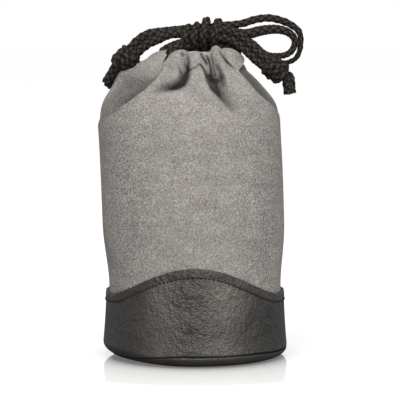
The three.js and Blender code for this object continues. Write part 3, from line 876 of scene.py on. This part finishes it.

# Creases of the front, as lines in the photograph's pixels. Each is a furrow with its width in pixels to the
# picture's left and right of a line that runs down, how many times its depth is painted in as shade, and
# points of x, y and depth in millimetres. A depth below zero is a bulge.
FRONT_CREASES = [
    # the left bulge stands out over the smile under it
    (9, 7, 1, [(175, 60, -0.4), (177, 68, -2), (177, 76, -3), (173, 82, -1.6)]),
    # the valley left of the middle fold, and the smile under the left bulge
    (6, 2.2, 1.1, [(187.6, 58, 1.4), (188.7, 63, 2.6), (188, 71, 5), (186.6, 78, 8.5), (183.6, 84, 9),
                   (178, 87.4, 7.4), (171, 89.2, 5.4), (163, 90.2, 4), (156, 91.5, 1.6)]),
    # the long fold right of the middle, with the pocket beside it
    (1.2, 12, 0.9, [(199, 64.5, 0.6), (203.6, 68.4, 2.4), (206, 75, 5), (208, 81, 8.5), (211.4, 88.6, 8.5),
                    (217.4, 95, 7), (225.4, 104, 4.8), (232.5, 111.5, 2.8), (239, 117, 0.4)]),
    # the hollow under the tall ridge
    (2.6, 3, 1, [(217.6, 62, 0.6), (217.6, 67, 2), (219.4, 72, 3.2), (222, 77.5, 4), (222.6, 84, 1.8)]),
    # the crease between the tall ridge and the flap
    (0.9, 1.1, 2.4, [(218.4, 48.5, 1), (220.6, 54, 1.8), (224, 58.6, 2.4), (226.8, 62.2, 2.6), (231, 66, 2.2),
                     (235, 69.6, 0.6)]),
    # furrows between the narrow pleats
    (1, 1, 3.2, [(200.4, 53, 1.6), (202.6, 57.4, 2), (204.8, 60.5, 2.2), (207, 64, 1.4)]),
    (1, 1, 3, [(206.4, 55.6, 1.4), (208.6, 60, 2), (210.4, 65, 2.2), (211.2, 70, 2.2), (211.4, 76, 1.4)]),
    (0.9, 0.9, 2.8, [(211.4, 49, 1.2), (211.9, 56.5, 1.8), (213, 64, 2.2), (214.4, 71, 2.2), (215, 75, 1.2)]),
    # short tucks on the left bulge
    (1.8, 1, 2.4, [(176.6, 63, 0.4), (179.2, 67, 1.6), (181, 72, 1.6), (181.4, 76, 0.6)]),
    (1.2, 1.2, 2.4, [(169, 67, 0.8), (172.6, 69.4, 0.8)]),
    (0.9, 0.9, 2.4, [(187.2, 56.6, 1), (188.2, 63, 1.6), (187.8, 71, 1.6), (187.2, 77, 0.8)]),
    # the deepest place of the pocket
    (2.4, 2.6, 2, [(208.8, 76.5, 1), (210.6, 81, 2.4), (213.6, 82.6, 1.8), (217.5, 80.5, 1.2)]),
    (1.2, 1.2, 2.6, [(181.8, 53.2, 1.6), (183, 55.6, 1.8)]),
    # where the channel's seam shows under the middle ridge
    (0.9, 1, 3, [(189.4, 70.4, 1.6), (193, 68.6, 1.8), (195.8, 67.4, 1.6), (198.4, 64.4, 1.4), (201, 65, 1.8),
                   (204, 70, 2), (206.4, 77, 1.6)]),
]


def crease_depth(pixels, left_width, right_width, line):
    """How far a furrow along the line presses in, at each pixel."""
    line = np.array(line, float)
    best = np.full(pixels.shape[:-1], np.inf)
    side = np.zeros_like(best)
    depth = np.zeros_like(best)
    for start, end in zip(line[:-1], line[1:]):
        step = end[:2] - start[:2]
        length = np.linalg.norm(step)
        direction = step / length
        offset = pixels - start[:2]
        way = np.clip(offset @ direction, 0, length)
        away = np.linalg.norm(offset - way[..., None] * direction, axis=-1)
        closer = away < best
        best = np.where(closer, away, best)
        side = np.where(closer, direction[0] * offset[..., 1] - direction[1] * offset[..., 0], side)
        depth = np.where(closer, mix(start[2], end[2], way / length), depth)
    return depth * np.exp(-(best / np.where(side > 0, left_width, right_width)) ** 2)


def press_creases(grid):
    """Pushes the creases of the front away from the viewer; also gives each point's painted shade."""
    pixels = photo_pixels(grid)
    outside = np.arange(grid.shape[1]) < outer_rows + CREASED_HEM_ROWS
    facing = smoothstep(-grid[..., 1], *CREASED_FRONT) * outside
    depth = np.zeros(pixels.shape[:-1])
    shade = np.zeros_like(depth)
    for left_width, right_width, darker, line in FRONT_CREASES:
        pressed_and_shaded = facing * crease_depth(pixels, left_width, right_width, line)
        depth += pressed_and_shaded
        # painted shade: each crease's depth, times its factor, darkens the colour
        shade += darker * np.maximum(pressed_and_shaded, 0)
    return grid + view_forward * depth[..., None], shade


def relaxed(grid, times):
    """Cloth has no sharp kinks: each point moves towards the middle of its neighbours."""
    for _ in range(times):
        around = grid[:-2, 1:-1] + grid[2:, 1:-1] + grid[1:-1, :-2] + grid[1:-1, 2:]
        grid[1:-1, 1:-1] = 0.5 * grid[1:-1, 1:-1] + 0.125 * around
        for edge in (grid[0], grid[-1]):
            edge[1:-1] = 0.5 * edge[1:-1] + 0.25 * (edge[:-2] + edge[2:])
    return grid


def panel_shell(grid):
    return shell(grid, grid - grid_normals(grid) * SUEDE)


def painted_shading(grid, shade):
    """Painted shade in the hollows, and grain painted more contrasty at the sides as grazing light shows it;
    both faces get the same.
    """
    # painted shade, darkest where a fold is deepest
    painted_shade = np.clip(shade / FULL_SHADE_DEPTH, 0, 1)
    # grain painted more contrasty at the sides, as grazing light shows it
    side = smoothstep(np.abs(grid[..., 0]), *GRAZING_GRAIN_FROM_MIDDLE)
    return {"painted_shade": both_faces(painted_shade, painted_shade).reshape(-1), "side": both_faces(side, side).reshape(-1)}


def front_panel():
    columns = panel_columns(FRONT_PLEATS)
    grid = panel_surface(columns, lambda z: slit_angle(LEFT_SLIT, z), lambda z: slit_angle(RIGHT_SLIT, z))
    share, height = columns[0], grid[..., 2]
    near_edge = np.maximum(1 - smoothstep(share, 0, EDGE_SHARE), smoothstep(share, 1 - EDGE_SHARE, 1))
    below_hem = 1 - smoothstep(np.arange(grid.shape[1]), outer_rows - COLLAR_ROWS, outer_rows)
    lifted = EDGE_LIFT * near_edge * smoothstep(height, shoulder_start, slit_free) * below_hem
    grid = relaxed(grid + grid_normals(grid) * lifted[..., None], FRONT_SMOOTHING)
    grid, shade = press_creases(grid)
    return panel_shell(relaxed(grid, CREASE_SMOOTHING)), painted_shading(grid, shade)


def left_puff(grid):
    """The cloth of the back stands out to the left under the hem."""
    height = grid[..., 2]
    angle = np.arctan2(grid[..., 0] - NECK_OFFSET, -grid[..., 1])
    outside = 1 - smoothstep(np.arange(grid.shape[1]), *(outer_rows + PUFFED_HEM_ROWS))
    near = np.exp(-((angle - LEFT_PUFF_ANGLE) / LEFT_PUFF_SPREAD) ** 2)
    level = smoothstep(height, *LEFT_PUFF_RISE) * (1 - smoothstep(height, *LEFT_PUFF_FALL))
    return LEFT_PUFF * outside * near * level


def back_panel():
    columns = panel_columns(BACK_PLEATS)

    def lap(height):
        return SLIT_OVERLAP * smoothstep(height, lap_start, slit_free)

    grid = panel_surface(
        columns,
        lambda z: slit_angle(RIGHT_SLIT, z) - lap(z),
        lambda z: TAU + slit_angle(LEFT_SLIT, z) + lap(z),
    )
    grid = relaxed(grid, BACK_SMOOTHING)
    grid[..., 0] -= left_puff(grid)
    share, height = columns[0], grid[..., 2]
    tuck = BACK_TUCK + sum(depth * smoothstep(share, low, high) for depth, low, high in BACK_TUCK_CHANGES)
    tuck = tuck * smoothstep(height, *back_tuck_rise) * (1 - smoothstep(height, *BACK_TUCK_FALL))
    # painted shade on the strip of the back panel by the right slit
    strip = SHADED_STRIP * (1 - smoothstep(share, *SHADED_STRIP_SHARES))
    strip = strip * smoothstep(height, *SHADED_STRIP_RISE) * (height < SHADED_STRIP_TOP)
    grid = relaxed(grid - grid_normals(grid) * tuck[..., None], BACK_SMOOTHING)
    # painted shade: the tuck's depth and the strip darken the colour
    return panel_shell(grid), painted_shading(grid, np.maximum(tuck, strip))


# Cords


def spline(points):
    """A smooth curve through the points, sampled evenly: a centripetal Catmull-Rom curve."""
    points = np.array(points, float)
    ends = np.concatenate([[2 * points[0] - points[1]], points, [2 * points[-1] - points[-2]]])
    pieces = []
    for a, b, c, d in zip(ends[:-3], ends[1:-2], ends[2:-1], ends[3:]):
        t1 = np.linalg.norm(b - a) ** 0.5
        t2 = t1 + np.linalg.norm(c - b) ** 0.5
        t3 = t2 + np.linalg.norm(d - c) ** 0.5
        t = np.linspace(t1, t2, CURVE_POINTS, endpoint=False)[:, None]
        middle = (t - t1) / (t2 - t1)
        bc = mix(b, c, middle)
        abc = mix(mix(a, b, t / t1), bc, t / t2)
        bcd = mix(bc, mix(c, d, (t - t2) / (t3 - t2)), (t - t1) / (t3 - t1))
        pieces.append(mix(abc, bcd, middle))
    dense = np.concatenate(pieces + [points[-1:]])
    length = walk(dense)[-1]
    return along(dense, np.linspace(0, length, round(length / ROUTE_STEP) + 1))


def carried_frame(path):
    """Two unit normals at each point of a path, carried along without twist."""
    tangents = unit(np.gradient(path, axis=0))
    first = np.cross(tangents[0], FRAME_START)
    normals = [first / np.linalg.norm(first)]
    for tangent in tangents[1:]:
        carried = normals[-1] - tangent * (normals[-1] @ tangent)
        normals.append(carried / np.linalg.norm(carried))
    normals = np.array(normals)
    return tangents, normals, np.cross(tangents, normals)


def tube(path, radius, sides, flat=1.0, up=None):
    """A closed tube along a path. `flat` squeezes it along `up`."""
    tangents, normal, binormal = carried_frame(path)
    if up is not None:
        binormal = unit(np.cross(tangents, up))
        normal = unit(np.cross(binormal, tangents))
    angles = np.linspace(0, TAU, sides, endpoint=False)[:, None]
    radius = np.broadcast_to(radius, len(path))[:, None, None]
    ring = normal[:, None] * np.cos(angles) * flat + binormal[:, None] * np.sin(angles)
    rings = path[:, None] + ring * radius
    first = rings.shape[0] * sides
    side = np.arange(sides)
    turn = (side + 1) % sides
    base = first - sides
    start_cap = np.stack([np.full(sides, first), turn, side, side], -1)
    end_cap = np.stack([np.full(sides, first + 1), base + side, base + turn, base + turn], -1)
    walls = loop_faces(len(path), sides, ring=False)[:, [0, 3, 2, 1]]
    points = np.concatenate([rings.reshape(-1, 3), path[:1], path[-1:]])
    return points, np.concatenate([walls, start_cap, end_cap])


def braid(path, fullness):
    """A round braid: carriers wind both ways, over and under. Also gives each point's painted strand light,
    from how far it lies on top: a painted highlight on top, painted shade between the strands.
    """
    _, normal, binormal = carried_frame(path)
    walked = walk(path)
    fullness = np.interp(walked, np.linspace(0, walked[-1], len(fullness)), fullness)
    pairs = BRAID_CARRIERS // 2
    facing = np.maximum(np.cos(np.linspace(0, TAU, BRAID_SIDES, endpoint=False)), 0)
    shapes = [tube(path, BRAID_CORE * fullness, BRAID_SIDES)]
    heights = [0 * walked]
    for way in (1, -1):
        for index in range(pairs):
            angle = way * TAU * walked / BRAID_PITCH + TAU * index / pairs
            over = way * np.cos(pairs * TAU * walked / BRAID_PITCH)
            outward = normal * np.cos(angle)[:, None] + binormal * np.sin(angle)[:, None]
            reach = fullness * (CARRIER_REACH + CARRIER_SWING * over)
            strand = path + outward * reach[:, None]
            shapes.append(tube(strand, CARRIER_RADIUS * fullness, BRAID_SIDES, CARRIER_FLATNESS, outward))
            heights.append(0.5 + 0.5 * over)
    # painted strand light: the outward face of a strand on top is painted lighter, the rest darker
    painted_strand_light = [np.append(np.outer(height, facing), [0, 0]) for height in heights]
    return joined(shapes), np.concatenate(painted_strand_light)


def frayed_end(path, seed):
    """Loose fibres that stand out of a cut end."""
    rng = np.random.default_rng(seed)
    tangent = unit(path[-1] - path[-4])
    side = unit(np.cross(tangent, FRAY_START))
    other = np.cross(tangent, side)
    fibres = []
    for _ in range(FRAY_FIBRES):
        turn = rng.uniform(0, TAU)
        outward = (side * math.cos(turn) + other * math.sin(turn)) * math.sqrt(rng.uniform(0, 1))
        root = path[-1] - tangent * FRAY_ROOT + outward * cord_radius * FRAY_SPREAD
        splay = outward * rng.uniform(*FRAY_SPLAY)
        tip = root + (tangent + splay) * rng.uniform(*FRAY_LENGTH)
        bend = side * rng.uniform(-FRAY_BEND, FRAY_BEND) + other * rng.uniform(-FRAY_BEND, FRAY_BEND)
        fibres.append(tube(np.stack([root, (root + tip) / 2 + bend, tip]), np.array(FRAY_RADII), FRAY_SIDES))
    return joined(fibres)


def cord_piece(name, points, nodes, body="pouch", fullness=PLAIN_FULLNESS, fray_seed=None):
    path = spline(points) + neck_origin
    shape, painted_strand_light = braid(path, fullness)
    if fray_seed is not None:
        fibres = frayed_end(path, fray_seed)
        shape = joined([shape, fibres])
        painted_strand_light = np.append(painted_strand_light, np.zeros(len(fibres[0])))
    piece = make_piece(name, shape, cord, nodes, {"painted_strand_light": painted_strand_light}, body)


def ring_arc(start, end, height):
    """A stretch of a cord round the hem channel, between two angles in degrees."""
    return polar(CHANNEL_RADIUS, np.radians(np.linspace(start, end, RING_POINTS)), height - HEM_TOP)


def left_drawcord():
    front = [[-1, -3, 4.6], [-4, -4, 3.8], [-6.8, -5, 3.4], [-10.5, -6.4, 3.2], [-13.8, -8, 1.8],
             [-16, -9.4, -0.6], [-14.8, -10, -3]]
    back = [[-17.6, -1.6, -3.8], [-20.2, -0.8, -2.4], [-20.2, -1, -0.3], [-17.8, -1.5, 1.5],
            [-14.4, -1.8, 3.1], [-10.5, -1.8, 4.4], [-6.8, -1, 5.1], [-2, 0, 5.2]]
    return np.concatenate([front, ring_arc(-49, 280, upper_ring), back])


def right_drawcord():
    front = [[6, -1, 4], [10.8, 0, 2.2], [14, 0, 2.6], [17.6, 0.4, 1.7], [19.4, 0.6, -1.2], [19.6, 0.4, -4.8],
             [18.2, -0.8, -7.4]]
    back = [[18.2, 5.4, -7.5], [19.6, 4.9, -4.8], [19.4, 4.9, -1.4], [17.6, 4.8, 1], [14, 4.6, 1.6],
            [10.8, 4.4, 1.7], [6, 4, 4]]
    return np.concatenate([front, ring_arc(83, -248, lower_ring), back])


BOW_LOOP_OUTER = [
    [4, 2, 11.5], [8, 2.2, 13.6], [12.1, 2.4, 13.8], [16.6, 2.6, 14], [22.8, 3, 14.9], [29, 3.8, 16.8],
    [36.2, 4.8, 17.7], [42.4, 5.6, 16.6], [48.2, 6, 14.2], [52.7, 6.2, 10.5], [53.8, 6.2, 5.6],
    [53.1, 6.2, -0.1], [51.3, 6.3, -3.7], [48.6, 6.4, -5.5], [44.4, 6.6, -6.3], [38.4, 6.8, -4.8],
    [30.9, 7, -0.2], [23.3, 6.9, 4.6], [17, 6.7, 6.1], [11.3, 6.5, 6.2], [6, 4.5, 6.8],
]
BOW_LOOP_INNER = [
    [4, 0, 9.5], [8, 1.8, 10.2], [11.8, 2.4, 10.5], [17, 2.4, 10.2], [22, 2.4, 9.2], [25.9, 2.4, 9.3],
    [31.6, 2.4, 10.8], [38.3, 2.4, 11.7], [42.3, 2.4, 11.5], [46.2, 2.4, 10.4], [49.4, 2.6, 8],
    [50.6, 2.6, 4.6], [48.5, 2.6, -0.1], [45.1, 2.6, -2.1], [41.2, 2.6, -2.5], [36.6, 2.6, -2.2],
    [33.3, 2.6, -0.6], [30.5, 2.5, 2], [27.6, 2.4, 4.5], [22.8, 2, 6.1], [17, 1.9, 6.1], [11.3, 1.9, 6.2],
    [6, 1, 6.8],
]
LEFT_PULL_UPPER = [
    [2, 2, 11], [-3, 2.4, 11.4], [-7.2, 2.6, 11.4], [-13.6, 2.8, 10.9], [-18.3, 3.2, 10.4], [-21.8, 3.6, 10],
    [-27.2, 4.3, 9.2], [-30.8, 5, 7.5], [-34.3, 5.7, 4.9], [-37, 6.3, 1.9],
]
LEFT_PULL_LOWER = [
    [2, -1.6, 8.2], [-3, -1.4, 8.5], [-7.2, -1.2, 8.8], [-12, -0.8, 9.6], [-16.9, -0.2, 9.1],
    [-20.7, 0.6, 7.5], [-24.2, 1.6, 5.8], [-27.2, 2.4, 4.7], [-29.4, 3.1, 3.2], [-31.6, 3.8, 1.5],
    [-34.2, 4.8, -0.9],
]
LEFT_TAIL_UPPER = [[-45.6, 7.4, -8.6], [-48.2, 9.6, -12.8], [-51, 11.4, -17]]
LEFT_TAIL_LOWER = [[-44.2, 9.6, -10.4], [-47, 12.2, -14.6], [-50, 14.4, -19]]
RIGHT_PULL_UPPER = [
    [4, -3.4, 10.5], [8, -4.6, 11.4], [11.5, -5, 11.6], [17, -5.2, 10.6], [20.2, -5.3, 9], [24.7, -5.5, 5.2],
    [29.5, -5.9, 0.5], [34.4, -6.6, -3.8],
]
RIGHT_PULL_LOWER = [
    [4, -3.4, 7.4], [8, -4.6, 7.4], [11.5, -5, 7.4], [15.6, -5.2, 6.6], [20.1, -5.4, 3.9], [24.7, -5.8, 0],
    [29, -6.3, -4.1], [31.8, -6.8, -6.4],
]
RIGHT_TAIL_UPPER = [[47.4, -7.2, -13.2], [48.1, -6.8, -17.4], [48.5, -6.4, -21.4]]
RIGHT_TAIL_LOWER = [[45.4, -7.9, -14.4], [46, -8, -18.2], [46.5, -8, -22]]


# A strand's way through a stopper knot: reach from the knot's axis, turn in radians, and place along the
# knot as a share of its length. It runs in, winds back round both strands, and runs out.
KNOT_IN = [(1.7, 0, -0.3), (1.5, 0.3, 0), (2.1, 0.9, 0.24)]
KNOT_WIND_TURNS = (1.7, 8.9)
KNOT_WIND_PLACES = (0.3, -0.26)
KNOT_WIND_POINTS = 13
KNOT_OUT = [(2, 9.7, -0.2), (1.5, 10.3, 0.05), (1.7, 10.8, 0.3)]


def knotted(pulls, tails, radius):
    """Routes of a doubled cord from its pulls through a stopper knot to its tails."""
    pull_end = (np.array(pulls[0][-1]) + pulls[1][-1]) / 2
    tail_start = (np.array(tails[0][0]) + tails[1][0]) / 2
    length = np.linalg.norm(tail_start - pull_end)
    axis = (tail_start - pull_end) / length
    centre = (tail_start + pull_end) / 2
    across = np.array(pulls[0][-1]) - pulls[1][-1]
    first = unit(across - axis * (across @ axis))
    second = np.cross(axis, first)
    turns = np.linspace(*KNOT_WIND_TURNS, KNOT_WIND_POINTS)
    places = np.linspace(*KNOT_WIND_PLACES, KNOT_WIND_POINTS)
    wound = [(radius - cord_radius, turn, place) for turn, place in zip(turns, places)]
    routes = []
    for pull, tail, begin in zip(pulls, tails, (0, math.pi)):
        reach, turn, place = np.array(KNOT_IN + wound + KNOT_OUT).T[..., None]
        outward = first * np.cos(begin + turn) + second * np.sin(begin + turn)
        routes.append(np.concatenate([pull, centre + outward * reach + axis * place * length, tail]))
    return routes


def tie_route():
    """The wraps of the tie, wound round the bundle of strands from left to right."""
    wraps = [
        # turn from the top in degrees, place along the bundle, height of the middle, reach across and up
        (-150, -6.5, 6.2, 4.4, 4.4), (-90, -8.2, 6.4, 5.4, 4.8), (0, -6.4, 6.8, 5.6, 5.8),
        (90, -8.6, 6.0, 6.8, 5.4), (180, -7.0, 5.4, 5.6, 5.6), (270, -4.2, 6.4, 5.4, 5.0),
        (360, -1.8, 7.4, 5.6, 6.2), (450, -3.8, 6.6, 7.0, 5.6), (540, -2.4, 6.6, 5.8, 5.6),
        (630, 1.0, 8.0, 5.8, 6.2), (720, 3.2, 9.0, 5.8, 7.2), (810, 1.4, 8.4, 7.0, 7.0),
        (900, 1.6, 8.2, 6.0, 7.4), (990, 5.2, 8.8, 5.8, 6.6), (1080, 9.6, 8.8, 5.6, 6.8),
        (1170, 7.2, 8.6, 6.6, 6.4), (1260, 6.2, 8.2, 5.6, 7.2), (1320, 5.0, 8.6, 3.6, 4.4),
    ]
    turn, along_bundle, middle, across, up = np.array(wraps).T
    turn = np.radians(turn)
    return np.stack([along_bundle, -across * np.sin(turn), middle + up * np.cos(turn)], -1)


def make_pull(side, pulls, tails, knot_radius, fullness, seed):
    """A doubled pull with its stopper knot, as two strands that each end in a frayed tail."""
    knot = [f"{side}_stopper_knot"]
    routes = knotted(pulls, tails, knot_radius)
    for level, points, wound in zip(("upper", "lower"), routes, (knot, [])):
        nodes = [f"{side}_pull_{level}", f"{side}_tail_{level}"] + wound
        name = f"{side}_strand_{level}"
        cord_piece(name, points, nodes, f"{side}_pull", fullness, seed + len(wound))


def make_cords():
    cord_piece("left_drawcord_braid", left_drawcord(), ["left_drawcord"])
    cord_piece("right_drawcord_braid", right_drawcord(), ["right_drawcord"])
    cord_piece("tie_wraps", tie_route(), ["tie_knot"])
    loops = (("outer", BOW_LOOP_OUTER, OUTER_LOOP_FULLNESS), ("inner", BOW_LOOP_INNER, INNER_LOOP_FULLNESS))
    for loop, points, fullness in loops:
        cord_piece(f"bow_loop_{loop}_braid", points, [f"bow_loop_{loop}"], "bow_loop", fullness)
    make_pull("left", [LEFT_PULL_UPPER, LEFT_PULL_LOWER], [LEFT_TAIL_UPPER, LEFT_TAIL_LOWER],
              LEFT_KNOT_RADIUS, LEFT_PULL_FULLNESS, LEFT_FRAY_SEED)
    make_pull("right", [RIGHT_PULL_UPPER, RIGHT_PULL_LOWER], [RIGHT_TAIL_UPPER, RIGHT_TAIL_LOWER],
              RIGHT_KNOT_RADIUS, PLAIN_FULLNESS, RIGHT_FRAY_SEED)


# The pouch


def make_leather():
    base = sole()
    creases_and_tone = {"wrinkled": np.full(len(base[0]), SOLE_WRINKLED), "tone_and_highlight": np.full(len(base[0]), SOLE_TONE)}
    make_piece("sole", base, leather, ["base_sole"], creases_and_tone)
    for side, facing in (("front", 0), ("back", math.pi)):
        band = band_half(facing)
        # painted highlight: paler upright streaks on the band
        creases_and_tone = {"wrinkled": wrinkled(band[0]), "tone_and_highlight": tone_and_highlight(band[0])}
        make_piece(f"band_{side}", band, leather, [f"leather_band_{side}"], creases_and_tone)
        binding = binding_half(facing)
        creased = wrinkled(binding[0])
        # painted highlight on the binding, palest in its middle where the band wrinkles most
        creases_and_tone = {"wrinkled": mix(*BINDING_WRINKLED, creased), "tone_and_highlight": mix(*BINDING_TONE_AND_HIGHLIGHT, creased)}
        make_piece(f"binding_{side}", binding, binding_leather, [f"band_binding_{side}"], creases_and_tone)
        make_piece(f"stitches_{side}", stitches(facing), thread, [f"band_thread_{side}"])


def make_suede():
    for side, (panel, panel_shading) in (("front", front_panel()), ("back", back_panel())):
        piece = make_piece(f"suede_{side}", panel, suede, [f"suede_{side}_panel"], panel_shading)


def make_lining():
    angles = np.linspace(0, TAU, SLEEVE_COLUMNS, endpoint=False)
    layer = wall_layer(angles, lining_offset, LINING, ring=True)
    sleeve = make_piece("lining_fabric", layer, lining, ["lining_sleeve"])
    edge = math.pi / 2 - (SEAM_TAPE_WIDTH / 2 + GAP) / wall_radius_full
    for side, facing in (("front", 0), ("back", math.pi)):
        angles = np.linspace(facing - edge, facing + edge, PADDING_COLUMNS)
        layer = wall_layer(angles, padding_offset, WALL_FOAM)
        pad = make_piece(f"wall_foam_{side}", layer, foam, [f"wall_padding_{side}"])
    half = SEAM_TAPE_WIDTH / 2 / wall_radius_full
    for side, seam in (("left", -math.pi / 2), ("right", math.pi / 2)):
        layer = wall_layer(np.linspace(seam - half, seam + half, TAPE_COLUMNS), padding_offset, SEAM_TAPE)
        make_piece(f"{side}_tape", layer, lining, [f"{side}_seam_tape"])


def disc(radius, bottom, thickness):
    """A soft disc with a rounded edge."""
    top = bottom + thickness
    edge = [(radius - inset, bottom + share * thickness) for inset, share in DISC_EDGE]
    return lathe([(AXIS_RADIUS, bottom), *edge, (radius / 2, top), (AXIS_RADIUS, top)], DISC_COLUMNS)


def make_base():
    inside = band_radius(BAND_SIDE_HEIGHT + BAND_CREST_RISE) - LEATHER - GAP - interior_offset - 2 * GAP
    foam_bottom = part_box("base_foam_pad")[0].z / MM
    lining_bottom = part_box("base_lining_disc")[0].z / MM
    pad = make_piece("base_foam", disc(inside, foam_bottom, BASE_FOAM), foam, ["base_foam_pad"])
    make_piece("base_lining", disc(inside, lining_bottom, LINING), lining, ["base_lining_disc"])
    board_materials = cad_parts["base_board"].data.materials
    board_materials.clear()
    board_materials.append(board)


# Stage and light


def floor_material():
    """Grey to light, dark to reflections; to the camera white, with a mirror that fades round the base."""
    n = Surface("floor")
    rays = n.add("LightPath")
    n.set(Base_Color=n.ramp(rays["Is Glossy Ray"], (0.0, grey(0.4)), (1.0, grey(0.16))), Roughness=0.9)
    paper = n.add("BsdfDiffuse", Color=grey(PAPER_GREY))["BSDF"]
    glow = n.add("Emission", Strength=PAPER_GLOW)["Emission"]
    bright = n.add("AddShader", paper, glow)["Shader"]
    mirror = n.add("BsdfGlossy", Roughness=MIRROR_ROUGHNESS)["BSDF"]
    reach = n.add("VectorMath", n.place, settings={"operation": "LENGTH"})["Value"]
    fading = [(share, grey(strength)) for share, strength in MIRROR_FADE]
    fade = n.ramp(n.math("DIVIDE", reach, MIRROR_REACH), *fading)
    table = n.add("MixShader", fade, bright, mirror)["Shader"]
    shown = n.add("MixShader", rays["Is Camera Ray"], n.shader.outputs["BSDF"], table)["Shader"]
    n.plug(shown, n.tree.nodes["Material Output"].inputs["Surface"])
    return n.material


def make_floor():
    mesh = bpy.data.meshes.new("floor")
    corners = [(-1, -1, 0), (1, -1, 0), (1, 1, 0), (-1, 1, 0)]
    mesh.from_pydata((np.array(corners) * FLOOR_REACH).tolist(), [], [(0, 1, 2, 3)])
    mesh.materials.append(floor_material())
    floor = bpy.data.objects.new("floor", mesh)
    bpy.context.scene.collection.objects.link(floor)


def make_world():
    """White to the camera and, low down, to reflections; a dim even light to all else."""
    world = bpy.data.worlds.new("studio")
    bpy.context.scene.world = world
    world.use_nodes = True
    n = Nodes(world.node_tree)
    background = n.tree.nodes["Background"].inputs
    n.plug(grey(1), background["Color"])
    rays = n.add("LightPath")
    height = n.add("SeparateXYZ", n.add("TexCoord")["Generated"])["Z"]
    low = n.eased(height, *WHITE_UP_TO, 1, 0)
    seen = n.math("MAXIMUM", rays["Is Camera Ray"], n.math("MULTIPLY", low, rays["Is Glossy Ray"]))
    n.plug(n.eased(seen, 0, 1, DIM_LIGHT, 1), background["Strength"])


def lamp(name, place, power, size):
    data = bpy.data.lights.new(name, "AREA")
    data.shape = "DISK"
    data.size = size
    data.energy = power
    data.color = LAMP_COLOUR
    light = bpy.data.objects.new(name, data)
    bpy.context.scene.collection.objects.link(light)
    light.location = place
    light.rotation_euler = (LAMP_AIM - Vector(place)).to_track_quat("-Z", "Y").to_euler()


def make_lights():
    for name, place, power, size in LAMPS:
        lamp(name, place, power, size)


bpy.context.scene.view_settings.view_transform = "Standard"
make_camera()
make_world()
make_floor()
make_lights()
make_cords()
make_leather()
make_suede()
make_lining()
make_base()
